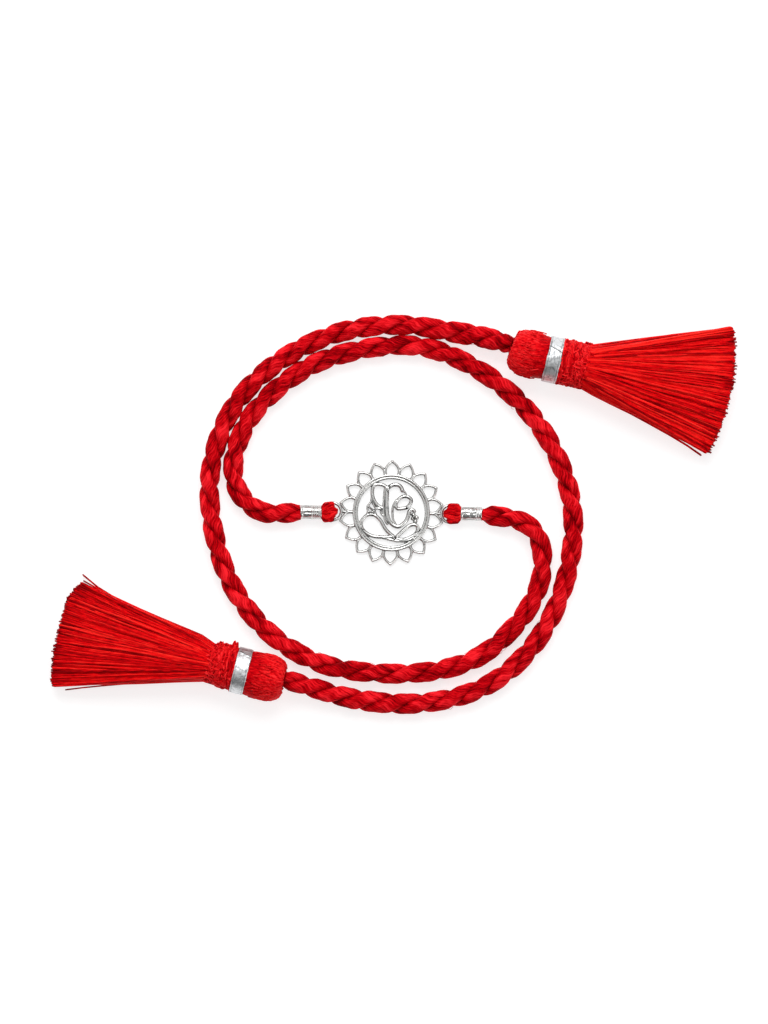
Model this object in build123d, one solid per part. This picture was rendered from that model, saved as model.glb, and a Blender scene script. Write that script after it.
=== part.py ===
from build123d import *
import math
import os

# A rakhi: a thread bracelet with a pierced silver medallion between two red twisted cords, each ending in a
# tassel. Millimetres. +X runs from the medallion's centre through its right eyelet, +Y is the top of the
# medallion's figure, +Z is up from the surface that the bracelet lies on. The origin is under the medallion.

# Medallion
RING_RADIUS = 7.6            # outer edge of the round frame
RING_BAND = 0.9              # frame, measured radially
RING_BASE_HEIGHT = 0.75
RING_OUTER_RIDGE = 0.42      # bright outer ridge of the frame, measured radially
RING_INNER_RIDGE = 0.28
RING_OUTER_HEIGHT = 1.2
RING_INNER_HEIGHT = 1.0
PETALS = 18
PETAL_LENGTH = 2.9           # from the frame's outer edge to a petal's tip
PETAL_WIRE = 0.5
PETAL_HEIGHT = 0.8
PETAL_CREST_HEIGHT = 1.0
PETAL_SPREAD = 1.12          # a petal's width where it leaves the frame, over the petals' pitch there
FIGURE_HEIGHT = 0.85
FIGURE_CREST_HEIGHT = 1.1
CREST_SHARE = 0.5            # width of a wire's raised crest over the wire's width
WIRE_BROAD = 0.72            # widths of the figure's wires
WIRE_MAIN = 0.62
WIRE_HEM = 0.55
WIRE_SIDE = 0.42
WIRE_FINE = 0.36

# Eyelets
EYELET_HOLE = 2.9
EYELET_WIRE = 0.58
EYELET_CENTRE_HEIGHT = 0.85
EYELET_STEM = 0.6            # bar between two petals and the eyelet
EYELET_REACH = 0.75          # from the petal tips' circle to the eyelet's inner edge, inwards

# Thread loops, sleeves and cords
CORD_DIAMETER = 3.8
CORD_AXIS_HEIGHT = 2.05
SLEEVE_LENGTH = 4.3
SLEEVE_DIAMETER = 2.66
SLEEVE_RIM_DIAMETER = 2.92
SLEEVE_RIM = 0.55
SLEEVE_BORE = 2.0
SLEEVE_RIBS = 5
SLEEVE_RIB_PITCH = 0.42
SLEEVE_FIRST_RIB = 0.25      # from the sleeve's end next to the loop to the first rib
LOOP_LENGTH = 3.0            # from the loop's nose inside the eyelet to the sleeve
LOOP_WIDTH = 4.0
LOOP_THICKNESS = 2.2
LOOP_NOSE_GAP = 0.55         # opening left between the eyelet's inner edge and the thread
CLEARANCE = 0.05             # between pieces that are threaded through each other

# Tassels
HEAD_LENGTH = 7.5
HEAD_RADIUS = 4.6
NECK_RADIUS = 4.3            # thread core under the metal band
WAIST_RADIUS = 3.8           # thread core under the wound collar
BAND_WIDTH = 2.8
BAND_WALL = 0.45
COLLAR_LENGTH = 5.1
COLLAR_TURNS = 6
COLLAR_THREAD = 0.9
CORE_OVERLAP = 1.0           # how far the core reaches into the skirt
SKIRT_END_HEIGHT = 4.8
UPPER_LOCKS = 9
UPPER_LOCK_FAN = 78.0        # degrees from the top to the root of the outermost upper lock
UPPER_LOCK_DROP = 0.5        # how much lower the outermost upper lock ends than the middle one
LOWER_LOCKS = 8
LOWER_LOCK_FAN = 72.0        # degrees from the bottom to the root of a lower lock at the skirt's edge
LOWER_LOCK_SPREAD = 0.9      # share of the skirt's width that the lower locks take
LOCK_ROOT_RADIUS = 1.15
LOCK_END_RADIUS = 1.75
LOCK_ROOT_INSET = 0.7        # how far past the collar the locks part from each other
TASSEL_FLOOR_GAP = 0.02
CORD_POCKET = 0.35           # how deep a cord's end sits in its tassel's head

# Sizes that follow
RING_OPENING = RING_RADIUS - RING_BAND
PETAL_TIP_RADIUS = RING_RADIUS + PETAL_LENGTH
EYELET_RADIUS = (EYELET_HOLE + EYELET_WIRE) / 2
EYELET_CENTRE = PETAL_TIP_RADIUS - EYELET_REACH + EYELET_WIRE + EYELET_HOLE / 2
LOOP_NOSE = EYELET_CENTRE - EYELET_HOLE / 2 + LOOP_NOSE_GAP
SLEEVE_START = LOOP_NOSE + LOOP_LENGTH
SLEEVE_END = SLEEVE_START + SLEEVE_LENGTH
BAND_RADIUS = NECK_RADIUS + CLEARANCE + BAND_WALL
TASSEL_AXIS_HEIGHT = BAND_RADIUS + TASSEL_FLOOR_GAP

# The figure's wires. Points are shares of the frame opening's radius, from its centre.
# name: (wire width, closed, points)
FIGURE = {
    "left_ear": (WIRE_MAIN, False, [
        (-0.14, 0.74), (-0.24, 0.81), (-0.37, 0.84), (-0.52, 0.81), (-0.58, 0.64), (-0.56, 0.46),
        (-0.49, 0.31), (-0.39, 0.20), (-0.28, 0.14)]),
    "ear_side": (WIRE_SIDE, False, [
        (-0.19, 0.76), (-0.22, 0.60), (-0.23, 0.36), (-0.24, 0.15), (-0.22, -0.06), (-0.19, -0.21),
        (-0.11, -0.34)]),
    "trunk": (WIRE_BROAD, False, [
        (-0.14, 0.74), (-0.14, 0.52), (-0.14, 0.30), (-0.13, 0.07), (-0.10, -0.13), (-0.03, -0.28),
        (0.09, -0.38), (0.22, -0.41), (0.34, -0.34), (0.45, -0.22), (0.51, -0.07), (0.54, 0.04)]),
    "trunk_tip": (WIRE_MAIN, False, [(0.52, -0.04), (0.55, 0.06), (0.62, 0.11), (0.69, 0.06)]),
    "brow": (WIRE_BROAD, False, [
        (-0.13, 0.72), (-0.03, 0.80), (0.08, 0.84), (0.19, 0.83), (0.28, 0.76), (0.32, 0.67)]),
    "curl": (WIRE_FINE, False, [(0.31, 0.69), (0.37, 0.64), (0.42, 0.59), (0.42, 0.50)]),
    "oval": (WIRE_MAIN, True, [
        (0.13, 0.20), (0.15, 0.32), (0.24, 0.43), (0.39, 0.50), (0.52, 0.47), (0.59, 0.39), (0.56, 0.28),
        (0.46, 0.17), (0.31, 0.13), (0.18, 0.13)]),
    "trunk_inner": (WIRE_SIDE, False, [
        (0.14, 0.37), (0.07, 0.25), (0.04, 0.12), (0.04, -0.04), (0.06, -0.19), (0.13, -0.33)]),
    "axe_shaft": (WIRE_FINE, False, [
        (-0.57, 0.54), (-0.60, 0.40), (-0.64, 0.28), (-0.71, 0.19), (-0.69, 0.01)]),
    "axe_arm": (WIRE_FINE, False, [(-0.60, 0.37), (-0.54, 0.24), (-0.45, 0.13), (-0.34, 0.11)]),
    "axe_band": (WIRE_FINE, False, [(-0.70, 0.19), (-0.61, 0.11), (-0.52, 0.04), (-0.46, -0.04)]),
    "axe_head": (WIRE_FINE, False, [(-0.52, 0.05), (-0.60, 0.01), (-0.69, 0.02), (-0.73, -0.06)]),
    "left_hand": (WIRE_FINE, False, [
        (-0.51, 0.04), (-0.43, 0.13), (-0.33, 0.10), (-0.31, 0.00), (-0.24, -0.09)]),
    "left_leg_top": (WIRE_MAIN, False, [
        (0.07, -0.70), (-0.10, -0.56), (-0.21, -0.42), (-0.29, -0.28), (-0.39, -0.16), (-0.51, -0.08),
        (-0.66, -0.07), (-0.79, -0.14), (-0.88, -0.27), (-0.90, -0.38), (-0.88, -0.46)]),
    "left_leg_base": (WIRE_MAIN, False, [
        (-0.89, -0.43), (-0.83, -0.53), (-0.73, -0.62), (-0.57, -0.70), (-0.36, -0.73), (-0.15, -0.73),
        (0.06, -0.72)]),
    "right_leg_top": (WIRE_MAIN, False, [
        (0.17, -0.72), (0.31, -0.58), (0.44, -0.46), (0.56, -0.37), (0.68, -0.34), (0.78, -0.38),
        (0.81, -0.47)]),
    "right_leg_base": (WIRE_MAIN, False, [
        (0.81, -0.46), (0.76, -0.59), (0.64, -0.69), (0.48, -0.77), (0.32, -0.80), (0.18, -0.77)]),
    "hem": (WIRE_HEM, False, [(-0.24, -0.74), (-0.06, -0.79), (0.12, -0.83), (0.33, -0.84), (0.52, -0.81),
                              (0.69, -0.75)]),
}

# Round beads between the trunk's tip and the right leg: (x, y, radius), shares of the opening's radius
BEADS = [(0.66, -0.05, 0.067), (0.76, -0.13, 0.067), (0.72, -0.24, 0.066), (0.64, -0.16, 0.057)]

# One side of a petal: (radial share of the petal's length from the frame, side share of the half pitch)
PETAL_SIDE = [(-0.08, 0.80), (0.14, 0.89), (0.34, 0.91), (0.58, 0.70), (0.78, 0.36), (0.92, 0.0)]

# A thread loop's sections from nose to sleeve: (share of length, share of half width, share of half height)
LOOP_SECTIONS = [(0.0, 0.40, 0.50), (0.16, 0.72, 0.90), (0.34, 0.97, 1.0), (0.56, 1.0, 1.0), (0.78, 1.0, 1.0),
                 (0.92, 0.74, 0.98)]

# A tassel head's outline from the cord to the band: (share of head length, share of head radius)
HEAD_OUTLINE = [(0.0, 0.52), (0.06, 0.76), (0.22, 0.94), (0.52, 1.0), (0.84, 0.98), (1.0, 0.95)]

# The skirt's core: (share of skirt length, share of half width gained, share of half height lost,
# share of the way down from the tassel's axis to the middle of the skirt's end)
SKIRT_SECTIONS = [(0.0, 0.0, 0.0, 0.0), (0.30, 0.24, 0.42, 0.30), (0.65, 0.56, 0.90, 0.70),
                  (1.0, 0.88, 1.30, 1.0)]

# Sideways place of each sleeve, and of the straight start of its cord
LEFT_SLEEVE_Y = -0.3
RIGHT_SLEEVE_Y = 0.05

# Routes of the two cords from sleeve to tassel: (x, y, z)
LEFT_ROUTE = [
    (-SLEEVE_END, LEFT_SLEEVE_Y, CORD_AXIS_HEIGHT), (-21.6, LEFT_SLEEVE_Y, CORD_AXIS_HEIGHT),
    (-25.4, -0.5, 2.05), (-29.3, 1.5, 2.05), (-31.7, 5.6, 2.05), (-31.6, 11.6, 2.05), (-28.0, 20.0, 2.05),
    (-17.9, 28.9, 2.05), (-6.5, 33.0, 2.05), (5.3, 34.0, 2.05), (16.4, 29.8, 2.05), (25.9, 22.7, 2.05),
    (33.0, 12.8, 2.05), (36.7, 0.8, 2.05), (35.7, -12.1, 2.05), (30.5, -24.6, 2.05), (20.8, -34.4, 2.05),
    (7.6, -38.5, 2.05), (-5.9, -38.1, 2.1), (-15.0, -35.6, 2.9), (-20.9, -33.7, 4.3)]
RIGHT_ROUTE = [
    (SLEEVE_END, RIGHT_SLEEVE_Y, CORD_AXIS_HEIGHT), (21.8, RIGHT_SLEEVE_Y, CORD_AXIS_HEIGHT),
    (25.8, -0.7, 2.05), (29.1, -3.1, 2.05), (30.6, -7.6, 2.05), (30.3, -14.2, 2.05), (26.2, -21.6, 2.05),
    (18.2, -28.8, 2.05), (9.0, -32.0, 2.05), (-2.6, -32.6, 2.05), (-14.4, -30.9, 2.05), (-25.0, -25.0, 2.05),
    (-32.4, -15.6, 2.05), (-36.4, -4.2, 2.05), (-37.1, 7.6, 2.05), (-33.0, 20.6, 2.05), (-23.6, 30.3, 2.05),
    (-11.6, 36.5, 2.05), (1.4, 38.4, 2.05), (11.4, 36.6, 2.2), (18.2, 35.7, 2.9), (23.4, 34.2, 4.3)]

# How each tassel lies. axis_angle is the direction that it points in, in degrees. axis_offset is how far its
# axis lies to the left of the cord's end. drift is how far the skirt's end lies to the left of that axis.
TASSELS = {
    "left": {"route": LEFT_ROUTE, "axis_angle": 167.2, "axis_offset": 0.5,
             "skirt_length": 31.7, "skirt_width": 21.8, "drift": 1.5},
    "right": {"route": RIGHT_ROUTE, "axis_angle": -12.0, "axis_offset": -0.9,
              "skirt_length": 29.9, "skirt_width": 25.6, "drift": 1.6},
}


def wire_area(points, width, closed=False):
    """Flat area that a wire of one width covers along a smooth line through the points."""
    if closed:
        line = Spline(*points, periodic=True)
    else:
        line = Spline(*points)
    area = trace(line, line_width=width)
    if not closed:
        area += Pos(*points[0]) * Circle(width / 2)
        area += Pos(*points[-1]) * Circle(width / 2)
    return area


def petal_areas(width):
    """The open petals round the frame, each drawn as two sides that meet in a point."""
    half_pitch = math.pi / PETALS
    areas = []
    for index in range(PETALS):
        middle = math.pi / 2 + index * 2 * math.pi / PETALS
        for side in (-1, 1):
            points = []
            for along, across in PETAL_SIDE:
                radius = RING_RADIUS + along * PETAL_LENGTH
                offset = side * across * RING_RADIUS * math.tan(half_pitch) * PETAL_SPREAD
                points.append((radius * math.cos(middle) - offset * math.sin(middle),
                               radius * math.sin(middle) + offset * math.cos(middle)))
            areas.append(wire_area(points, width))
    return areas


def figure_areas(share):
    """The seated figure's wires and beads, each at a share of its full width."""
    areas = []
    for width, closed, shares in FIGURE.values():
        points = [(x * RING_OPENING, y * RING_OPENING) for x, y in shares]
        areas.append(wire_area(points, width * share, closed))
    for x, y, radius in BEADS:
        areas.append(Pos(x * RING_OPENING, y * RING_OPENING) * Circle(radius * RING_OPENING * share))
    return areas


def annulus(outer, band, height):
    """A flat ring of one height standing on the surface."""
    return extrude(Circle(outer) - Circle(outer - band), amount=height)


def eyelet(side):
    """Round eyelet with its stem, on the left (-1) or right (1) of the medallion."""
    ring = Pos(side * EYELET_CENTRE, 0, EYELET_CENTRE_HEIGHT) * Torus(EYELET_RADIUS, EYELET_WIRE / 2)
    start = RING_RADIUS - RING_BAND / 2
    end = EYELET_CENTRE - EYELET_RADIUS
    stem_height = EYELET_CENTRE_HEIGHT + EYELET_WIRE / 4
    stem = Pos(side * (start + end) / 2, 0, stem_height / 2) * Box(end - start, EYELET_STEM, stem_height)
    return ring + stem


def make_medallion():
    """The pierced silver medallion: frame, petals, figure and eyelets in one casting."""
    body = annulus(RING_RADIUS, RING_BAND, RING_BASE_HEIGHT)
    body += annulus(RING_RADIUS, RING_OUTER_RIDGE, RING_OUTER_HEIGHT)
    body += annulus(RING_OPENING + RING_INNER_RIDGE, RING_INNER_RIDGE, RING_INNER_HEIGHT)
    levels = [
        (petal_areas(PETAL_WIRE), PETAL_HEIGHT),
        (petal_areas(PETAL_WIRE * CREST_SHARE), PETAL_CREST_HEIGHT),
        (figure_areas(1.0), FIGURE_HEIGHT),
        (figure_areas(CREST_SHARE), FIGURE_CREST_HEIGHT),
    ]
    for areas, height in levels:
        sketch = Sketch() + areas
        body += extrude(sketch, amount=height)
    body += [eyelet(-1), eyelet(1)]
    return body


def make_sleeve(side, axis_y):
    """Crimped silver sleeve, a short ribbed tube round the thread, along X."""
    outline = Pos(0, 0, SLEEVE_LENGTH / 2) * Cylinder(SLEEVE_DIAMETER / 2, SLEEVE_LENGTH)
    outline += Pos(0, 0, SLEEVE_LENGTH - SLEEVE_RIM / 2) * Cylinder(SLEEVE_RIM_DIAMETER / 2, SLEEVE_RIM)
    rib = (SLEEVE_RIM_DIAMETER - SLEEVE_DIAMETER) / 2
    for index in range(SLEEVE_RIBS):
        outline += Pos(0, 0, SLEEVE_FIRST_RIB + index * SLEEVE_RIB_PITCH) * Torus(SLEEVE_DIAMETER / 2, rib)
    tube = outline - Cylinder(SLEEVE_BORE / 2, 4 * SLEEVE_LENGTH)
    start = Plane(origin=(side * SLEEVE_START, axis_y, CORD_AXIS_HEIGHT), z_dir=(side, 0, 0))
    return start * tube


def make_thread_loop(side, axis_y):
    """Red thread that goes through the eyelet, back round its wire and on through the sleeve."""
    sections = []
    for along, width, height in LOOP_SECTIONS:
        centre_height = LOOP_THICKNESS / 2 + TASSEL_FLOOR_GAP
        centre = (side * (LOOP_NOSE + along * LOOP_LENGTH), axis_y * along, centre_height)
        oval = Ellipse(width * LOOP_WIDTH / 2, height * LOOP_THICKNESS / 2)
        sections.append(Plane(origin=centre, x_dir=(0, side, 0), z_dir=(side, 0, 0)) * oval)
    end_plane = Plane(origin=(side * SLEEVE_START, axis_y, CORD_AXIS_HEIGHT), x_dir=(0, side, 0),
                      z_dir=(side, 0, 0))
    stem_radius = SLEEVE_BORE / 2 - CLEARANCE / 2
    sections.append(end_plane * Circle(stem_radius))
    thread = loft(sections)
    thread += end_plane * Pos(0, 0, SLEEVE_LENGTH / 2) * Cylinder(stem_radius, SLEEVE_LENGTH)
    eyelet_room = Torus(EYELET_RADIUS, EYELET_WIRE / 2 + CLEARANCE)
    return thread - Pos(side * EYELET_CENTRE, 0, EYELET_CENTRE_HEIGHT) * eyelet_room


def corner_radii(route):
    """Largest arc at each corner of a route: 0.45 of the shorter run over the tangent of half the turn."""
    radii = []
    for before, here, after in zip(route, route[1:], route[2:]):
        first = Vector(*here) - Vector(*before)
        second = Vector(*after) - Vector(*here)
        half_turn = math.radians(first.get_angle(second)) / 2
        radii.append(0.45 * min(first.length, second.length) / math.tan(half_turn))
    return radii


def make_cord(name, route):
    """A cord as a tube along straight runs joined by tangent arcs."""
    radii = corner_radii(route)
    path = FilletPolyline(*route, radius=radii)
    tube = sweep(Plane(origin=path @ 0, z_dir=path % 0) * Circle(CORD_DIAMETER / 2), path=path)
    section = math.pi * CORD_DIAMETER ** 2 / 4
    print(f"{name}: length {path.length:.1f}, volume over section times length "
          f"{tube.volume / (section * path.length):.4f}, tightest radius {min(radii):.1f}")
    print(f"{name}: radii", [round(radius, 1) for radius in radii])
    return tube


def tassel_frame(side):
    """Frame at a band's centre: Z runs out along the tassel, Y is up and X points to its left."""
    row = TASSELS[side]
    out = Vector(math.cos(math.radians(row["axis_angle"])), math.sin(math.radians(row["axis_angle"])), 0)
    left = Vector(-out.Y, out.X, 0)
    end = Vector(*row["route"][-1])
    reach = HEAD_LENGTH + BAND_WIDTH / 2 - CORD_POCKET
    centre = Vector(end.X, end.Y, TASSEL_AXIS_HEIGHT) + out * reach + left * row["axis_offset"]
    return Plane(origin=centre, x_dir=left, z_dir=out)


def tassel_core():
    """Head bulb and thread core under band and collar, turned about the tassel's axis."""
    start = -BAND_WIDTH / 2 - HEAD_LENGTH
    outline = [(share * HEAD_RADIUS, start + along * HEAD_LENGTH) for along, share in HEAD_OUTLINE]
    neck_end = BAND_WIDTH / 2
    collar_end = neck_end + COLLAR_LENGTH
    bulb = Spline(*outline)
    rest = Polyline(outline[-1], (NECK_RADIUS, -BAND_WIDTH / 2), (NECK_RADIUS, neck_end),
                    (WAIST_RADIUS, neck_end), (WAIST_RADIUS, collar_end + CORE_OVERLAP),
                    (0, collar_end + CORE_OVERLAP), (0, start), outline[0])
    profile = Plane.XZ * make_face([bulb, rest])
    return revolve(profile, axis=Axis.Z)


def make_lock(row, root_angle, end_share, end_height):
    """One lock: a slender cone from the core to the skirt's end, where end_share is 1 at the left edge."""
    root_circle = NECK_RADIUS - LOCK_ROOT_RADIUS
    start = BAND_WIDTH / 2 + COLLAR_LENGTH
    root = Vector(root_circle * math.cos(root_angle), root_circle * math.sin(root_angle),
                  start + LOCK_ROOT_INSET)
    end = Vector(end_share * (row["skirt_width"] / 2 - LOCK_END_RADIUS) + row["drift"],
                 end_height - TASSEL_AXIS_HEIGHT, start + row["skirt_length"])
    way = end - root
    cone = Pos(0, 0, way.length / 2) * Cone(LOCK_ROOT_RADIUS, LOCK_END_RADIUS, way.length)
    return Plane(origin=root, z_dir=way) * cone


def make_skirt(row):
    """Spread skirt: a flattening core with two layers of locks, cut to an arc at its end."""
    start = BAND_WIDTH / 2 + COLLAR_LENGTH
    sections = []
    for along, gain, loss, drop in SKIRT_SECTIONS:
        half_width = NECK_RADIUS + gain * (row["skirt_width"] / 2 - NECK_RADIUS)
        half_height = NECK_RADIUS + loss * (SKIRT_END_HEIGHT / 2 - NECK_RADIUS)
        middle = drop * (SKIRT_END_HEIGHT / 2 - TASSEL_AXIS_HEIGHT)
        place = Plane(origin=(row["drift"] * along, middle, start + along * row["skirt_length"]),
                      x_dir=(1, 0, 0), z_dir=(0, 0, 1))
        sections.append(place * Ellipse(half_width, half_height))
    skirt = loft(sections)
    locks = []
    for index in range(UPPER_LOCKS):
        share = 1 - 2 * index / (UPPER_LOCKS - 1)
        angle = math.radians(90 - share * UPPER_LOCK_FAN)
        height = SKIRT_END_HEIGHT - LOCK_END_RADIUS - UPPER_LOCK_DROP * share ** 2
        locks.append(make_lock(row, angle, share, height))
    for index in range(LOWER_LOCKS):
        share = LOWER_LOCK_SPREAD * (1 - 2 * index / (LOWER_LOCKS - 1))
        angle = math.radians(share * LOWER_LOCK_FAN - 90)
        locks.append(make_lock(row, angle, share, LOCK_END_RADIUS + TASSEL_FLOOR_GAP))
    skirt += locks
    reach = start + row["skirt_length"]
    end_cut = Plane(origin=(0, 0, 0), z_dir=(0, 1, 0)) * Cylinder(reach, 4 * HEAD_LENGTH)
    return skirt & end_cut


def make_tassel(side):
    """Head, core and skirt of one tassel, with a pocket where the cord's end sits."""
    row = TASSELS[side]
    tassel = tassel_frame(side) * (tassel_core() + make_skirt(row))
    end = Vector(*row["route"][-1])
    way = (end - Vector(*row["route"][-2])).normalized()
    pocket = Plane(origin=end, z_dir=way * -1) * Pos(0, 0, HEAD_LENGTH / 2) * Cylinder(
        CORD_DIAMETER / 2 + CLEARANCE, HEAD_LENGTH)
    return tassel - pocket


def make_band(side):
    """Plain silver band round a tassel's neck."""
    ring = Cylinder(BAND_RADIUS, BAND_WIDTH)
    ring = fillet(ring.edges().filter_by(GeomType.CIRCLE), radius=BAND_WALL / 3)
    ring -= Cylinder(NECK_RADIUS + CLEARANCE, 2 * BAND_WIDTH)
    return tassel_frame(side) * ring


def make_collar(side):
    """Thread wound round a tassel's waist, next to the band."""
    length = COLLAR_LENGTH - 2 * CLEARANCE
    inner = WAIST_RADIUS + CLEARANCE
    middle = BAND_WIDTH / 2 + COLLAR_LENGTH / 2
    collar = Pos(0, 0, middle) * (Cylinder(inner + COLLAR_THREAD / 2, length) - Cylinder(inner, 2 * length))
    pitch = length / COLLAR_TURNS
    first = BAND_WIDTH / 2 + CLEARANCE + pitch / 2
    for index in range(COLLAR_TURNS):
        collar += Pos(0, 0, first + index * pitch) * Torus(inner + COLLAR_THREAD / 2, pitch / 2)
    return tassel_frame(side) * collar


def main():
    os.makedirs("parts", exist_ok=True)
    nodes = {"medallion": make_medallion()}
    for side, sign, sleeve_y, route in (("left", -1, LEFT_SLEEVE_Y, LEFT_ROUTE),
                                        ("right", 1, RIGHT_SLEEVE_Y, RIGHT_ROUTE)):
        nodes[f"{side}_thread_loop"] = make_thread_loop(sign, sleeve_y)
        nodes[f"{side}_sleeve"] = make_sleeve(sign, sleeve_y)
        nodes[f"{side}_cord"] = make_cord(f"{side}_cord", route)
        nodes[f"{side}_tassel"] = make_tassel(side)
        nodes[f"{side}_band"] = make_band(side)
        nodes[f"{side}_collar"] = make_collar(side)
    for name, shape in nodes.items():
        solids = shape.solids()
        low, high = shape.bounding_box().min, shape.bounding_box().max
        print(f"{name}: {len(solids)} solid, valid {shape.is_valid}, volume {shape.volume:.1f}, "
              f"from {low.X:.2f} {low.Y:.2f} {low.Z:.2f} to {high.X:.2f} {high.Y:.2f} {high.Z:.2f}")
        export_step(solids[0] if len(solids) == 1 else shape, f"parts/{name}.step")


if __name__ == "__main__":
    main()
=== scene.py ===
import logging
import math
from dataclasses import dataclass, field
from enum import Enum

import bpy
import numpy as np
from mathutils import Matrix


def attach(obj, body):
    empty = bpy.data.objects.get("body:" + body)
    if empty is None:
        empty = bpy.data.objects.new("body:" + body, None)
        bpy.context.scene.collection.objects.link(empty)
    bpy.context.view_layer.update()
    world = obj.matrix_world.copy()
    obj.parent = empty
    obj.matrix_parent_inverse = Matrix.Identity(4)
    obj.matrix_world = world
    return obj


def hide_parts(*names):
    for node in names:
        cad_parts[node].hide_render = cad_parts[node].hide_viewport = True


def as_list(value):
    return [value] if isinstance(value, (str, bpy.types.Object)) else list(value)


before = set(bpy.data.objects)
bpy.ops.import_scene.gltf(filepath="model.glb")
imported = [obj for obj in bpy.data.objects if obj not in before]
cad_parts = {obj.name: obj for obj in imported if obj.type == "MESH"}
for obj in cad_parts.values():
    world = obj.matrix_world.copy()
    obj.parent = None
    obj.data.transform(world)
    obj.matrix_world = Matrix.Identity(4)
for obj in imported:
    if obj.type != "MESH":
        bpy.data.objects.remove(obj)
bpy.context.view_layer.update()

# A rakhi: a thread bracelet with a pierced silver medallion between two red twisted silk cords, each with a
# tassel. Shapes are worked out in millimetres and put into Blender in metres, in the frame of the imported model.

MM = 0.001
TURN = 2.0 * math.pi
Z_AXIS = np.array([0.0, 0.0, 1.0])
FLOOR_CLEARANCE = 0.02       # nothing soft goes lower than this
NUDGE = 1e-4                 # keeps a line's points apart where the floor would bring them together
Array = np.ndarray
Points = list[tuple[float, ...]]
log = logging.getLogger("rakhi")

CORD_AXIS = 2.05             # height of a cord's axis
RING_RADIUS = 7.6
RING_BAND = 0.9
RING_OPENING = RING_RADIUS - RING_BAND
PETALS = 18
PETAL_LENGTH = 2.9
EYELET_CENTRE = 11.78
EYELET_RADIUS = 1.74
EYELET_WIRE = 0.58
EYELET_HEIGHT = 0.85
SLEEVE_START = 13.88
SLEEVE_END = 18.18
AXIS_HEIGHT = 4.82           # height of a tassel's axis
HEAD_LENGTH = 7.5
BAND_WIDTH = 2.8
BAND_RADIUS = 4.8
COLLAR_LENGTH = 5.1
CORD_POCKET = 0.35

# The cords' route points from sleeve to tassel: the source's, put right against the photograph by up to half a
# millimetre. A point without a height lies at the height of the cord's axis.
LEFT_ROUTE = [
    (-SLEEVE_END, -0.3), (-21.6, -0.55), (-25.4, -0.75), (-29.4, 1.5),
    (-31.8, 5.7), (-31.8, 11.7), (-28.1, 20.2), (-17.9, 29.1), (-6.5, 32.9),
    (5.3, 34.0), (16.3, 29.7), (25.8, 22.7), (33.0, 12.9), (36.9, 0.9),
    (35.8, -12.0), (30.7, -24.6), (20.9, -34.5), (7.6, -38.4), (-5.9, -37.8, 2.1),
    (-14.9, -35.3, 2.9), (-20.8, -33.55, 4.3)]
RIGHT_ROUTE = [
    (SLEEVE_END, 0.05), (21.8, -0.3), (25.8, -0.85), (29.1, -3.0),
    (30.6, -7.5), (30.2, -14.1), (26.2, -21.5), (18.4, -28.9), (9.0, -31.8),
    (-2.6, -32.4), (-14.4, -30.7), (-24.7, -24.5), (-32.0, -15.3),
    (-35.9, -4.0), (-36.9, 7.7), (-32.8, 20.6), (-23.5, 30.2), (-11.4, 36.3),
    (1.4, 38.0), (11.4, 36.4, 2.2), (18.2, 35.5, 2.9), (23.45, 33.9, 4.3)]

# How far a cord's twist runs ahead of an even one, at places along the cord, both in millimetres
LEFT_TWIST = [(0.0, -0.3), (16.0, -0.3), (28.0, 0.9), (41.0, 2.5), (60.0, 3.9), (91.0, 5.6), (115.0, 7.5),
              (153.0, 6.8), (170.0, 7.1), (198.0, 8.6)]
RIGHT_TWIST = [(0.0, 4.2), (20.0, 4.4), (40.0, 4.1), (60.0, 3.4), (84.0, 2.5), (100.0, 3.5), (122.0, 3.6),
               (145.0, 4.4), (155.0, 6.2), (185.0, 7.5), (198.0, 7.7)]


class Side(Enum):
    """The bracelet's halves, as the photograph shows them."""

    LEFT = "left"
    RIGHT = "right"

    @property
    def sign(self) -> float:
        """The side's direction along X."""
        return -1.0 if self is Side.LEFT else 1.0

    def named(self, what: str) -> str:
        """The name of the side's own piece or node."""
        return f"{self.value}_{what}"


class Slot(Enum):
    """The record's material slots."""

    SILVER = "silver"
    FOIL = "silver_foil"
    CORD = "red_cord"
    THREAD = "red_thread"


class Wire(Enum):
    """Widths of the figure's wires, in millimetres."""

    BROAD = 0.80
    MAIN = 0.73
    HEM = 0.65
    PETAL = 0.53
    SIDE = 0.47
    FINE = 0.41


def unit(vectors: Array) -> Array:
    """Vectors of length 1.

    Args:
        vectors: Any array whose last axis holds a vector.

    Returns:
        The same array, each vector divided by its own length.
    """
    return vectors / np.maximum(np.linalg.norm(vectors, axis=-1, keepdims=True), 1e-12)


def smooth_step(value: Array) -> Array:
    """0 below 0, 1 above 1 and 3v^2 - 2v^3 between."""
    value = np.clip(value, 0.0, 1.0)
    return value * value * (3.0 - 2.0 * value)


def fading(value: Array, width: float) -> Array:
    """1 at zero and below, 0 from the width on, smooth between."""
    return smooth_step(1.0 - value / width)


def bell(value: Array, width: float) -> Array:
    """exp(-(v / w)^2): 1 at zero, next to nothing beyond twice the width."""
    return np.exp(-(value / width) ** 2)


def hump(value: Array, half: float) -> Array:
    """1 - (v / half)^2, and 0 where that is below zero."""
    return np.clip(1.0 - (value / half) ** 2, 0.0, None)


def closeness(first: Array, second: Array, width: float) -> Array:
    """1 where two values agree, falling evenly to 0 where they are the width apart."""
    return np.clip(1.0 - np.abs(first - second) / width, 0.0, None)


def highest(*parts: Array) -> Array:
    """The highest of several values, place by place."""
    return np.max(np.broadcast_arrays(*parts), axis=0)


def circle(count: int) -> Array:
    """Angles spread evenly round a full turn."""
    return np.linspace(0.0, TURN, count, endpoint=False)


def stack(*parts: Array | float) -> Array:
    """Coordinates, spread to one shape and put side by side on a last axis."""
    return np.stack(np.broadcast_arrays(*parts), axis=-1)


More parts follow.
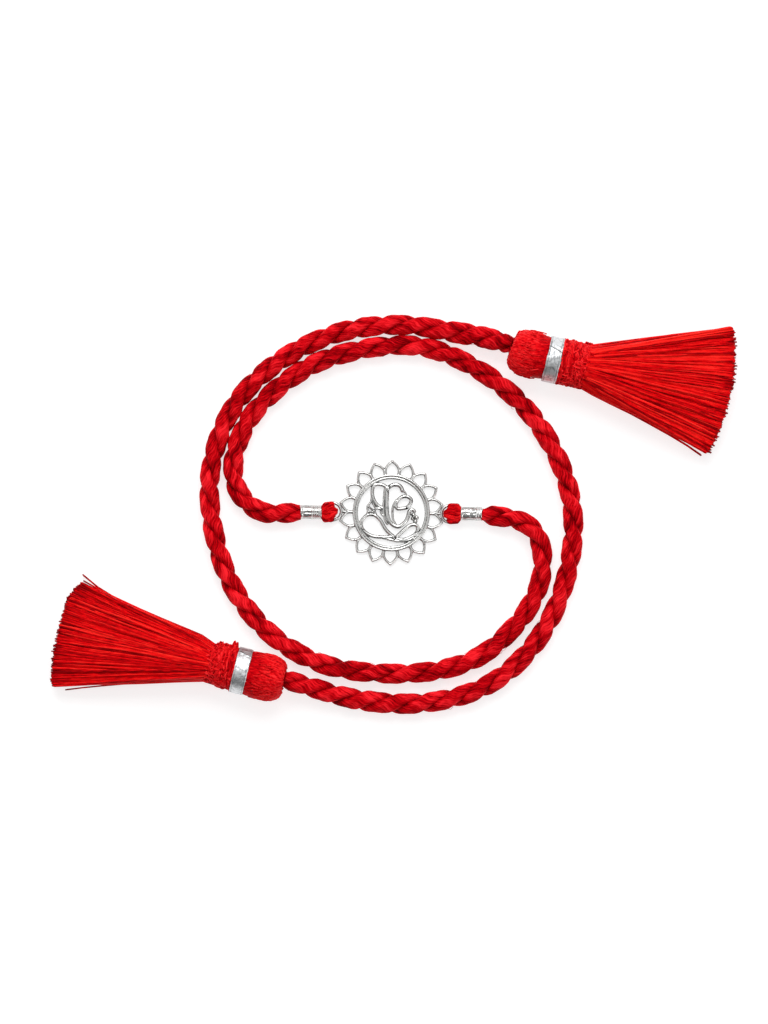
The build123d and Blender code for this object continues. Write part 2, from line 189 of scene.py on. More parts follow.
def polar(radius: Array | float, angle: Array, along: Array | float) -> Array:
    """Points about the third axis: (r cos a, r sin a, along)."""
    return stack(radius * np.cos(angle), radius * np.sin(angle), along)


def lift_off_floor(points: Array) -> Array:
    """The same array, with no point lower than the floor's clearance."""
    points[..., 2] = np.maximum(points[..., 2], FLOOR_CLEARANCE)
    return points


def ripple(places: Array, scale: float, seed: int, waves: int = 20) -> Array:
    """Smooth random relief: a sum of cosine waves in random directions, with lengths near the scale.

    Args:
        places: Points, last axis x, y, z or any number of coordinates.
        scale: Typical distance between two crests, in the points' unit.
        seed: Number that fixes the random draw.
        waves: How many waves are added.

    Returns:
        One value per point, mostly between -1 and 1.
    """
    draw = np.random.default_rng(seed)
    ways = unit(draw.normal(size=(waves, places.shape[-1])))
    ways *= (TURN / scale) * draw.uniform(0.6, 1.5, size=(waves, 1))
    phases = draw.uniform(0.0, TURN, waves)
    return np.cos(places @ ways.T + phases).sum(axis=-1) * math.sqrt(1.0 / waves)


def smooth_line(points: Points, step: float, closed: bool = False) -> Array:
    """Points along a cubic spline through the given ones.

    The spline's parameter is the chord length. Its second derivatives solve the usual tridiagonal equations,
    and are zero at the ends of an open line.

    Args:
        points: What the line goes through.
        step: Distance between the points that come back.
        closed: Whether the line ends where it starts.

    Returns:
        Array of points along the line.
    """
    knots = np.array(points + points[:1] if closed else points, float)
    steps = np.linalg.norm(np.diff(knots, axis=0), axis=1)
    place = np.concatenate([[0.0], np.cumsum(steps)])
    slopes = np.diff(knots, axis=0) / steps[:, None]
    count = len(steps) if closed else len(knots)
    matrix = np.eye(count)
    right = np.zeros((count, knots.shape[1]))
    rows = np.arange(count) if closed else np.arange(1, count - 1)
    matrix[rows, rows - 1] = steps[rows - 1]
    matrix[rows, rows] = 2.0 * (steps[rows - 1] + steps[rows % len(steps)])
    matrix[rows, (rows + 1) % count] = steps[rows % len(steps)]
    right[rows] = 6.0 * (slopes[rows % len(steps)] - slopes[rows - 1])
    bends = np.linalg.solve(matrix, right)
    if closed:
        bends = np.vstack([bends, bends[:1]])
    at = np.linspace(0.0, place[-1], max(2, int(place[-1] / step) + 1))
    k = np.clip(np.searchsorted(place, at, side="right") - 1, 0, len(steps) - 1)
    after = ((at - place[k]) / steps[k])[:, None]
    before = 1.0 - after
    curve = (before ** 3 - before) * bends[k] + (after ** 3 - after) * bends[k + 1]
    return before * knots[k] + after * knots[k + 1] + curve * (steps[k] ** 2)[:, None] / 6.0


def ring_faces(bundles: int, rings: int, sides: int, closed: bool) -> list[Array]:
    """Faces of tubes whose points are stored ring after ring, each ring counter-clockwise about its way.

    Args:
        bundles: How many separate tubes follow each other in the points.
        rings: Rings in each tube.
        sides: Points in each ring.
        closed: Whether the last ring joins the first. Otherwise two more points per tube, after all the rings,
            are the middles of its end caps.

    Returns:
        Arrays of four-sided faces and, for open tubes, of three-sided ones.
    """
    tube = np.arange(bundles)[:, None, None] * rings * sides
    row = np.arange(rings if closed else rings - 1)[None, :, None]
    column = np.arange(sides)[None, None, :]
    here, after = row * sides, (row + 1) % rings * sides
    right = (column + 1) % sides
    quads = np.stack([tube + here + column, tube + here + right, tube + after + right, tube + after + column],
                     axis=-1)
    faces = [quads.reshape(-1, 4)]
    if not closed:
        first = tube[:, 0] + column[0]
        second = tube[:, 0] + right[0]
        last = (rings - 1) * sides
        middle = bundles * rings * sides + 2 * np.arange(bundles)[:, None] + 0 * first
        faces.append(np.stack([middle, second, first], -1).reshape(-1, 3))
        faces.append(np.stack([middle + 1, first + last, second + last], -1).reshape(-1, 3))
    return faces


def put_in_scene(name: str, data: bpy.types.ID) -> bpy.types.Object:
    """A new object of the scene, at the origin."""
    holder = bpy.data.objects.new(name, data)
    bpy.context.scene.collection.objects.link(holder)
    return holder


@dataclass
class Shell:
    """Points and faces of a piece that is being put together, in millimetres.

    Each point carries a shade, which moves its colour from dark (-1) to light (1): painted light and shade as
    well as random tone. It also carries a fibre vector, which holds its place across and along its thread, so
    that streaks follow the thread.
    """

    points: list[Array] = field(default_factory=list)
    faces: list[Array] = field(default_factory=list)
    shades: list[Array] = field(default_factory=list)
    fibres: list[Array] = field(default_factory=list)
    count: int = 0

    def add(self, points: Array, faces: list[Array], shade: Array | float = 0.0,
            fibre: Array | None = None) -> None:
        """Takes in more points and the faces between them.

        Args:
            points: Array of any shape whose last axis is x, y, z.
            faces: Arrays of faces, counted from the first of these points.
            shade: One number for all the points or one each.
            fibre: A vector per point, or None where the place itself will do.
        """
        flat = points.reshape(-1, 3)
        self.points.append(flat)
        self.faces.extend(face + self.count for face in faces)
        self.shades.append(np.broadcast_to(np.ravel(shade), len(flat)))
        self.fibres.append(flat if fibre is None else fibre.reshape(-1, 3))
        self.count += len(flat)

    def add_tubes(self, rings: Array, closed: bool = False, shade: Array | float = 0.0,
                  fibre: Array | None = None) -> None:
        """Takes in tubes: rings of points with faces between them and, where they are open, end caps.

        Args:
            rings: Array of shape (tubes, rings, sides, 3), or (rings, sides, 3) for one tube.
            closed: Whether each tube's last ring joins its first.
            shade: One number, or an array that fits (tubes, rings, sides).
            fibre: Array that fits rings, or None where the place itself will do.
        """
        rings = rings.reshape(-1, *rings.shape[-3:])
        fibre = rings if fibre is None else np.broadcast_to(fibre, rings.shape)
        values = np.concatenate([rings, np.broadcast_to(shade, rings.shape[:3])[..., None], fibre], axis=-1)
        flat = values.reshape(-1, 7)
        if not closed:
            flat = np.vstack([flat, values[:, [0, -1]].mean(axis=2).reshape(-1, 7)])
        self.add(flat[:, :3], ring_faces(*rings.shape[:3], closed), flat[:, 3], flat[:, 4:])

    def build(self, name: str, material: bpy.types.Material, node: str, slot: Slot,
              sharp_degrees: float | None = None) -> bpy.types.Object:
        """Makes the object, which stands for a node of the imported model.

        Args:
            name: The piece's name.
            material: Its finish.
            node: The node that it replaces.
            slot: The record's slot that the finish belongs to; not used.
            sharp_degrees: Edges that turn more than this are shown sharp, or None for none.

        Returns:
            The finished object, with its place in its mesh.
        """
        points = np.vstack(self.points)
        mesh = bpy.data.meshes.new(name)
        mesh.vertices.add(len(points))
        mesh.vertices.foreach_set("co", (points * MM).astype(np.float32).ravel())
        corners = np.concatenate([face.ravel() for face in self.faces]).astype(np.int32)
        sizes = np.concatenate([np.full(len(face), face.shape[1]) for face in self.faces])
        starts = np.concatenate([[0], np.cumsum(sizes)[:-1]]).astype(np.int32)
        mesh.loops.add(len(corners))
        mesh.loops.foreach_set("vertex_index", corners)
        mesh.polygons.add(len(sizes))
        mesh.polygons.foreach_set("loop_start", starts)
        mesh.polygons.foreach_set("use_smooth", np.ones(len(sizes), bool))
        mesh.update(calc_edges=True)
        mesh.validate()
        shade = mesh.attributes.new("shade", "FLOAT", "POINT")
        shade.data.foreach_set("value", np.concatenate(self.shades).astype(np.float32))
        fibre = mesh.attributes.new("fibre", "FLOAT_VECTOR", "POINT")
        fibre.data.foreach_set("vector", np.vstack(self.fibres).astype(np.float32).ravel())
        if sharp_degrees is not None:
            mesh.set_sharp_from_angle(angle=math.radians(sharp_degrees))
        mesh.materials.append(material)
        piece = put_in_scene(name, mesh)
        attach(piece, "root")
        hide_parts(node)
        log.info("%s: %d points, %d triangles", name, len(points), int((sizes - 2).sum()))
        return piece


def side_and_up(lines: Array) -> tuple[Array, Array, Array]:
    """Frames along lines that never stand upright.

    Args:
        lines: Array of shape (..., points, 3).

    Returns:
        The way along each line, its left side and its upper side, all of length 1 and square to each other.
    """
    way = unit(np.gradient(lines, axis=-2))
    side = unit(np.cross(Z_AXIS, way))
    return way, side, np.cross(way, side)


def tube_rings(lines: Array, side: Array, up: Array, radius: Array | float, sides: int) -> Array:
    """Rings of points about lines: centre + radius (cos a side + sin a up).

    Args:
        lines: Centre lines, of shape (threads, points, 3).
        side: Where a ring starts from, fitting lines.
        up: A quarter turn on, fitting lines.
        radius: One radius, or an array that fits (threads, points).
        sides: Points in a ring.

    Returns:
        Array of shape (threads, points, sides, 3).
    """
    angle = circle(sides)[:, None]
    size = np.broadcast_to(np.asarray(radius, float), lines.shape[:2])[..., None, None]
    return lines[:, :, None, :] + size * (np.cos(angle) * side[..., None, :] + np.sin(angle) * up[..., None, :])


def thread_tubes(lines: Array, radius: Array | float, sides: int) -> Array:
    """Rings of thin round threads, as in tube_rings, along lines that never stand upright."""
    _, side, up = side_and_up(lines)
    return tube_rings(lines, side, up, radius, sides)


def linear(code: str) -> tuple[float, float, float, float]:
    """Linear RGBA from an sRGB hex colour such as "c4040f"."""
    shares = [int(code[i:i + 2], 16) / 255.0 for i in (0, 2, 4)]
    red, green, blue = (s / 12.92 if s <= 0.04045 else ((s + 0.055) / 1.055) ** 2.4 for s in shares)
    return red, green, blue, 1.0


def add_node(tree: bpy.types.NodeTree, kind: str, settings: dict | None = None,
             links: dict | None = None) -> bpy.types.Node:
    """Adds a node to a material or world.

    Args:
        tree: Where it goes.
        kind: Blender's name for the kind of node, without its ShaderNode.
        settings: Values by name, first of the node's own settings and otherwise of its inputs. A colour ramp
            takes "stops", its places and hex colours in rising order.
        links: Sockets that feed its inputs, by the input's name or number.

    Returns:
        The node.
    """
    node = tree.nodes.new("ShaderNode" + kind)
    for key, value in (settings or {}).items():
        if key == "stops":
            elements = node.color_ramp.elements
            for _ in value[len(elements):]:
                elements.new(0.5)
            for element, (place, code) in zip(elements, value):
                element.position, element.color = place, linear(code)
        elif isinstance(key, str) and hasattr(node, key):
            setattr(node, key, value)
        else:
            node.inputs[key].default_value = value
    for key, socket in (links or {}).items():
        tree.links.new(socket, node.inputs[key])
    return node


def new_material(name: str) -> tuple[bpy.types.Material, bpy.types.NodeTree]:
    """An empty material that uses nodes, and its tree."""
    material = bpy.data.materials.new(name)
    material.use_nodes = True
    material.node_tree.nodes.clear()
    return material, material.node_tree


@dataclass(frozen=True)
class Silk:
    """Dyed silk-like rayon thread: filaments side by side, soft gloss along them and deep red in the gaps."""

    name: str
    dark: str = "7a0007"
    body: str = "c8040f"
    light: str = "f01a24"
    filament_mm: float = 0.22     # drawn coarser than real filaments, which are too fine to show
    streak_contrast: float = 1.5
    patch_mm: float = 2.2         # distance between lighter and darker patches
    relief_mm: float = 0.07
    roughness: float = 0.46
    gloss: float = 0.18
    gloss_tint: str = "ff3030"
    sheen: float = 0.10

    def material(self) -> bpy.types.Material:
        """Streaks and relief from noise stretched along the thread, tone from the points' shade.
        The streaks follow the relief: painted highlights on the filaments, painted shade in the gaps between
        them.

        Returns:
            The material, which reads the attributes fibre and shade.
        """
        material, tree = new_material(self.name)
        fibre = add_node(tree, "Attribute", {"attribute_name": "fibre"}).outputs["Vector"]
        shade = add_node(tree, "Attribute", {"attribute_name": "shade"}).outputs["Fac"]
        streak = add_node(tree, "TexNoise", {"Scale": 1.0 / self.filament_mm, "Detail": 2.0, "Roughness": 0.6},
                          {"Vector": fibre})
        patch = add_node(tree, "TexNoise", {"Scale": 1.0 / self.patch_mm, "Detail": 1.0}, {"Vector": fibre})
        tone = add_node(tree, "Math", {"operation": "MULTIPLY_ADD", 1: self.streak_contrast,
                                       2: 0.23 - 0.5 * self.streak_contrast}, {0: streak.outputs["Fac"]})
        tone = add_node(tree, "Math", {"operation": "MULTIPLY_ADD", 1: 0.5},
                        {0: patch.outputs["Fac"], 2: tone.outputs[0]})
        tone = add_node(tree, "Math", {"operation": "MULTIPLY_ADD", 1: 0.5}, {0: shade, 2: tone.outputs[0]})
        # the ramp's dark end stands for painted shade in gaps and hollows, its light end for painted highlights
        colour = add_node(tree, "ValToRGB", {"stops": [(0.0, self.dark), (0.45, self.body), (1.0, self.light)]},
                          {"Fac": tone.outputs[0]})
        bump = add_node(tree, "Bump", {"Strength": 1.0, "Distance": self.relief_mm * MM},
                        {"Height": streak.outputs["Fac"]})
        shader = add_node(tree, "BsdfPrincipled", {
            "Roughness": self.roughness, "IOR": 1.3, "Specular IOR Level": self.gloss,
            "Specular Tint": linear(self.gloss_tint),
            "Sheen Weight": self.sheen, "Sheen Roughness": 0.35, "Sheen Tint": linear("ff2a2a")},
            {"Base Color": colour.outputs["Color"], "Normal": bump.outputs["Normal"]})
        add_node(tree, "OutputMaterial", links={"Surface": shader.outputs["BSDF"]})
        return material


@dataclass(frozen=True)
class Silver:
    """Silver-toned metal, cast and polished or rolled into foil: mirror bright with soft clouds of handling."""

    name: str
    bright: str = "d6d6d4"
    # the colour where the shade is low: patina, and painted shade in corners, grooves, bores and along edges
    tarnish_and_shade: str = "2a2a28"
    roughness: float = 0.25
    cloud_mm: float = 1.2         # distance between duller clouds
    grain_mm: float = 0.25        # fine unevenness of the polish
    relief_mm: float = 0.012

    def material(self) -> bpy.types.Material:
        """Tarnish and painted shade where the points' shade is low, roughness from clouds and relief from fine
        noise.

        Returns:
            The material, which reads the attribute shade and Object coordinates.
        """
        material, tree = new_material(self.name)
        place = add_node(tree, "TexCoord").outputs["Object"]
        shade = add_node(tree, "Attribute", {"attribute_name": "shade"}).outputs["Fac"]
        cloud = add_node(tree, "TexNoise", {"Scale": 1.0 / (self.cloud_mm * MM), "Detail": 3.0},
                         {"Vector": place})
        grain = add_node(tree, "TexNoise", {"Scale": 1.0 / (self.grain_mm * MM), "Detail": 2.0},
                         {"Vector": place})
        tone = add_node(tree, "Math", {"operation": "MULTIPLY_ADD", 1: 0.25, 2: 0.82, "use_clamp": True},
                        {0: cloud.outputs["Fac"]})
        tone = add_node(tree, "Math", {"operation": "ADD", "use_clamp": True}, {0: tone.outputs[0], 1: shade})
        colour = add_node(tree, "ValToRGB", {"stops": [(0.0, self.tarnish_and_shade), (0.95, self.bright)]},
                          {"Fac": tone.outputs[0]})
        rough = add_node(tree, "MapRange", {"To Min": self.roughness * 0.7, "To Max": self.roughness * 1.5},
                         {"Value": cloud.outputs["Fac"]})
        bump = add_node(tree, "Bump", {"Strength": 1.0, "Distance": self.relief_mm * MM},
                        {"Height": grain.outputs["Fac"]})
        shader = add_node(tree, "BsdfPrincipled", {"Metallic": 1.0}, {
            "Base Color": colour.outputs["Color"], "Roughness": rough.outputs["Result"],
            "Normal": bump.outputs["Normal"]})
        add_node(tree, "OutputMaterial", links={"Surface": shader.outputs["BSDF"]})
        return material


@dataclass
class Medallion:
    """The cast silver medallion: a ridged frame, open petals, the seated figure's wires and two eyelets.

    It is a height field on a fine grid. Each wire gives a signed distance to its edge and a crown whose height
    falls off from its middle line. Both are joined by a smooth maximum, which leaves small fillets where wires
    meet, as casting does. Those corners are darkened with painted shade, partly patina.
    """

    grid: float = 0.07
    join: float = 0.10            # width of the fillets
    web: float = 0.14             # half the width of the narrow gaps next to the frame that are filled
    petal_profile: tuple[float, float] = (0.66, 0.32)   # height at a wire's edge and rise to its middle
    figure_profile: tuple[float, float] = (0.76, 0.34)
    bead_profile: tuple[float, float] = (0.62, 0.50)
    stem_profile: tuple[float, float] = (0.60, 0.35)
    stem_half: float = 0.3        # half the width of the stems that hold the eyelets
    petal_spread: float = 1.12    # a petal's width over its share of the frame's rim
    crown_power: float = 0.7      # the lower, the flatter a wire is on top
    ridge_power: float = 0.2      # the same for the frame's ridges
    ring_base: float = 0.75
    ring_reach: float = 7.76      # the frame's outer radius, with its rounded rim
    ring_fall: float = 2.0        # how steeply the height drops outside the frame
    outer_ridge: tuple[float, float, float] = (7.48, 0.27, 0.38)   # radius, half width, height above base
    inner_ridge: tuple[float, float, float] = (6.98, 0.22, 0.24)
    groove_radius: float = 7.21   # the dark line between the two ridges
    outline_dark: tuple[float, float] = (0.38, 0.13)    # painted shade, partly patina, along the outline: how dark, and how far in from it
    frame_dark: tuple[float, float] = (0.34, 0.08)      # the same along the frame's own edges
    groove_dark: tuple[float, float] = (0.24, 0.05)     # the same between its ridges
    corner_reach: float = 0.10    # how far in from their edges wires get painted shade, partly patina, where they meet
    web_reach: float = 0.09       # the same where one of them is the frame
    web_blend: float = 0.05       # how far into a filled gap its painted shade is full
    # how dark the underside is: painted shade, which fades up the walls
    underside_dark: float = 0.5
    least_edge: float = 0.004     # smaller edge distances count as this, so that no face is a sliver
    eyelet_dark: tuple[float, float] = (0.90, 0.50)     # painted shade on an eyelet's inner and outer side
    sharp_degrees: float = 42.0
    # name: (width, closed, points in hundredths of the frame opening's radius)
    figure: dict[str, tuple[Wire, bool, Points]] = field(default_factory=lambda: {
        "left_ear": (Wire.MAIN, False, [
            (-14, 74), (-24, 81), (-37, 84), (-52, 81), (-58, 64), (-56, 46), (-49, 31), (-39, 20),
            (-28, 14)]),
        "ear_side": (Wire.SIDE, False, [
            (-19, 76), (-22, 60), (-23, 36), (-24, 15), (-22, -6), (-19, -21), (-11, -34)]),
        "trunk": (Wire.BROAD, False, [
            (-14, 74), (-14, 52), (-14, 30), (-13, 7), (-10, -13), (-3, -28), (9, -38), (22, -41),
            (34, -34), (45, -22), (51, -7), (54, 4)]),
        "trunk_tip": (Wire.MAIN, False, [(52, -4), (55, 6), (62, 11), (69, 6)]),
        "brow": (Wire.BROAD, False, [(-13, 72), (-3, 80), (8, 84), (19, 83), (28, 76), (32, 67)]),
        "curl": (Wire.FINE, False, [(31, 69), (37, 64), (42, 59), (42, 50)]),
        "oval": (Wire.MAIN, True, [
            (13, 20), (15, 32), (24, 43), (39, 50), (52, 47), (59, 39), (56, 28), (46, 17), (31, 13),
            (18, 13)]),
        "trunk_inner": (Wire.SIDE, False, [(14, 37), (7, 25), (4, 12), (4, -4), (6, -19), (13, -33)]),
        "axe_shaft": (Wire.FINE, False, [(-57, 54), (-60, 40), (-64, 28), (-71, 19), (-69, 1)]),
        "axe_arm": (Wire.FINE, False, [(-60, 37), (-54, 24), (-45, 13), (-34, 11)]),
        "axe_band": (Wire.FINE, False, [(-70, 19), (-61, 11), (-52, 4), (-46, -4)]),
        "axe_head": (Wire.FINE, False, [(-52, 5), (-60, 1), (-69, 2), (-73, -6)]),
        "left_hand": (Wire.FINE, False, [(-51, 4), (-43, 13), (-33, 10), (-31, 0), (-24, -9)]),
        "left_leg_top": (Wire.MAIN, False, [
            (7, -70), (-10, -56), (-21, -42), (-29, -28), (-39, -16), (-51, -8), (-66, -7), (-79, -14),
            (-88, -27), (-90, -38), (-88, -46)]),
        "left_leg_base": (Wire.MAIN, False, [
            (-89, -43), (-83, -53), (-73, -62), (-57, -70), (-36, -73), (-15, -73), (6, -72)]),
        "right_leg_top": (Wire.MAIN, False, [
            (17, -72), (31, -58), (44, -46), (56, -37), (68, -34), (78, -38), (81, -47)]),
        "right_leg_base": (Wire.MAIN, False, [
            (81, -46), (76, -59), (64, -69), (48, -77), (32, -80), (18, -77)]),
        "hem": (Wire.HEM, False, [(-24, -74), (-6, -79), (12, -83), (33, -84), (52, -81), (69, -75)]),
    })
    # x, y and radius of each bead, as shares of the opening's radius
    beads: Points = field(default_factory=lambda: [
        (0.66, -0.05, 0.067), (0.76, -0.13, 0.067), (0.72, -0.24, 0.066), (0.64, -0.16, 0.057)])
    # a petal's side: radial share of its length from the frame, side share of the half pitch
    petal_side: Points = field(default_factory=lambda: [
        (-0.08, 0.80), (0.14, 0.89), (0.34, 0.91), (0.58, 0.70), (0.78, 0.36), (0.92, 0.0)])

    def start_fields(self) -> None:
        """Makes the grid and puts the frame's ring on it."""
        reach = RING_RADIUS + PETAL_LENGTH + 3.0 * self.grid
        count = int(2.0 * reach / self.grid) + 1
        self.axis = (np.arange(count) - (count - 1) / 2.0) * self.grid
        self.across, self.along = np.meshgrid(self.axis, self.axis)
        radius = np.hypot(self.across, self.along)
        band = self.ring_reach - RING_OPENING
        self.edge = band / 2.0 - np.abs(radius - (self.ring_reach - band / 2.0))
        self.height = self.ring_base - self.ring_fall * np.maximum(-self.edge, 0.0)
        for middle, half, rise in (self.outer_ridge, self.inner_ridge):
            self.height += rise * hump(radius - middle, half) ** self.ridge_power
        self.ring_edge = self.edge.copy()
        self.contact = np.zeros_like(self.edge)

    def lay_wire(self, line: Array, half: float, profile: tuple[float, float], shaded_webs: bool = False) -> None:
        """Joins one wire to the fields.

        The distance d from each grid point to the nearest of the line's pieces gives the signed distance to the
        wire's edge, half - d, and the height, edge + crown (1 - (d / half)^2)^power.

        Args:
            line: Points along the wire's middle, x and y.
            half: Half of its width.
            profile: Height at its edge and rise from there to its middle.
            shaded_webs: Whether the narrow corners between it and the frame are filled and darkened with painted
                shade, partly patina.
        """
        margin = half + 3.0 * self.join
        low = np.searchsorted(self.axis, line.min(axis=0) - margin)
        high = np.searchsorted(self.axis, line.max(axis=0) + margin)
        window = (slice(low[1], high[1]), slice(low[0], high[0]))
        places = stack(self.across[window], self.along[window])[:, :, None, :]
        start, piece = line[:-1], np.diff(line, axis=0)
        share = np.clip(((places - start) * piece).sum(-1) / (piece * piece).sum(-1), 0.0, 1.0)
        distance = np.linalg.norm(places - start - share[..., None] * piece, axis=-1).min(axis=-1)
        edge = half - distance
        height = profile[0] + profile[1] * hump(distance, half) ** self.crown_power
        old, contact = self.edge[window], self.contact[window]
        # painted shade, partly patina, in the corners where wires meet
        corner = closeness(old, edge, 2.0 * self.join) * fading(np.maximum(old, edge), self.corner_reach)
        contact = np.maximum(contact, corner)
        if shaded_webs:
            # filled gaps next to the frame get painted shade, partly patina
            ring = self.ring_edge[window]
            web = np.minimum(ring, edge) + self.web
            dark = smooth_step(web / self.web_blend) * fading(np.maximum(ring, edge), self.web_reach)
            contact = np.maximum(contact, dark)
            self.edge[window] = np.maximum(old, np.where(web > 0.0, web, old))
        self.contact[window] = contact
        for values, new, width in ((self.edge, edge, self.join), (self.height, height, 1.2 * self.join)):
            old = values[window]
            values[window] = np.maximum(old, new) + closeness(old, new, width) ** 2 * width / 4.0

    def lay_all(self) -> None:
        """Petals, figure, beads and eyelet stems, in that order."""
        half_pitch = RING_RADIUS * math.tan(math.pi / PETALS) * self.petal_spread
        radial, sideways = (np.array(self.petal_side) * [PETAL_LENGTH, half_pitch]).T[..., None]
        for angle in circle(PETALS) + math.pi / 2.0:
            out = np.array([math.cos(angle), math.sin(angle)])
            left = np.array([-math.sin(angle), math.cos(angle)])
            for sign in (-1.0, 1.0):
                points = (RING_RADIUS + radial) * out + sign * sideways * left
                self.lay_wire(smooth_line(points.tolist(), step=0.15), Wire.PETAL.value / 2.0,
                              self.petal_profile)
        for width, closed, points in self.figure.values():
            line = smooth_line((np.array(points) * 0.01 * RING_OPENING).tolist(), step=0.12, closed=closed)
            self.lay_wire(line, width.value / 2.0, self.figure_profile, shaded_webs=True)
        for x, y, radius in self.beads:
            centre = np.array([x, y]) * RING_OPENING
            self.lay_wire(np.array([centre, centre + 0.01]), radius * RING_OPENING, self.bead_profile)
        for side in Side:
            ends = [[side.sign * (RING_RADIUS - RING_BAND / 2.0), 0.0],
                    [side.sign * (EYELET_CENTRE - EYELET_RADIUS), 0.0]]
            self.lay_wire(np.array(ends), self.stem_half, self.stem_profile)

    def cut_out(self, shell: Shell) -> None:
        """Turns the fields into a closed body, by marching squares.

        A cell of the grid keeps the part where the edge distance is above zero, and its corners on the outline
        are put where the distance is zero between two grid points. The same polygons, turned over, make the
        flat underside, and upright faces join the two along the outline.

        Args:
            shell: Takes the points and faces.
        """
        edge = np.where(np.abs(self.edge) < self.least_edge, self.least_edge, self.edge)
        inside = edge > 0.0
        ids = {name: np.full(edge.shape, -1) for name in ("corner", "row", "column")}
        outline, frame_edge, groove = self.outline_dark, self.frame_dark, self.groove_dark
        off_groove = np.hypot(self.across, self.along) - self.groove_radius
        # painted shade, partly patina: where wires meet, in filled gaps, along outlines, the frame's edges and
        # its groove
        dark = highest(self.contact, outline[0] * fading(self.edge, outline[1]),
                       frame_edge[0] * fading(np.abs(self.ring_edge), frame_edge[1]),
                       groove[0] * bell(off_groove, groove[1]) * (self.ring_edge > 0.0))
        layers = stack(self.across, self.along, self.height, dark)
        ids["corner"][inside] = np.arange(inside.sum())
        made, count = [layers[inside]], int(inside.sum())
        for name, here, there in (("row", np.s_[:, :-1], np.s_[:, 1:]), ("column", np.s_[:-1], np.s_[1:])):
            crossing = inside[here] != inside[there]
            share = (edge[here] / (edge[here] - edge[there] + 1e-12))[crossing][:, None]
            made.append(layers[here][crossing] * (1.0 - share) + layers[there][crossing] * share)
            ids[name][here][crossing] = count + np.arange(len(share))
            count += len(share)
        top = np.vstack(made)
        around = [("corner", 0, 0), ("row", 0, 0), ("corner", 0, 1), ("column", 0, 1),
                  ("corner", 1, 1), ("row", 1, 0), ("corner", 1, 0), ("column", 0, 0)]
        size = edge.shape[0] - 1
        keys = np.stack([ids[name][r:r + size, c:c + size] for name, r, c in around], axis=-1).reshape(-1, 8)
        case = sum((keys[:, 2 * k] >= 0) << k for k in range(4))
        tops, walls = [], []
        for code in range(1, 16):
            full = [bool(code >> k & 1) for k in range(4)]
            crossed = [full[k] != full[(k + 1) % 4] for k in range(4)]
            kept = [k for k in range(8) if (crossed if k % 2 else full)[k // 2]]
            cells = keys[case == code]
            tops.append(cells[:, kept])
            for first, second in zip(kept, kept[1:] + kept[:1]):
                if first % 2 and second % 2:
                    walls.append(np.column_stack([cells[:, first] + count, cells[:, second] + count,
                                                  cells[:, second], cells[:, first]]))
        bottom = top[:, :3] * [1.0, 1.0, 0.0]
        faces = tops + [cells[:, ::-1] + count for cells in tops] + walls
        # the top takes the painted shade above, the underside its own painted shade
        shade = -np.concatenate([top[:, 3], np.full(count, self.underside_dark)])
        shell.add(np.vstack([top[:, :3], bottom]), [face for face in faces if len(face)], shade)

    def add_eyelets(self, shell: Shell) -> None:
        """Round wire rings: (R + r cos b) about the eyelet's centre, r sin b up.

        Args:
            shell: Takes the points and faces.
        """
        turn, roll = circle(72)[:, None], circle(14)
        wire = EYELET_WIRE / 2.0
        inner, outer = self.eyelet_dark
        # painted shade on the inner and outer sides of each ring's wire
        dark = (inner * smooth_step((-np.cos(roll) - 0.40) / 0.4)
                + outer * smooth_step((np.cos(roll) - 0.60) / 0.4) + 0.04)
        ring = polar(EYELET_RADIUS + wire * np.cos(roll), turn, EYELET_HEIGHT - wire * np.sin(roll))
        for side in Side:
            shell.add_tubes(ring + [side.sign * EYELET_CENTRE, 0.0, 0.0], closed=True, shade=-dark)

    def build(self, finish: Silver) -> bpy.types.Object:
        """Works out the medallion and makes its object.

        Args:
            finish: What it is made of.

        Returns:
            The finished object.
        """
        self.start_fields()
        self.lay_all()
        shell = Shell()
        self.cut_out(shell)
        self.add_eyelets(shell)
        return shell.build("cast_medallion", finish.material(), "medallion", Slot.SILVER,
                           self.sharp_degrees)


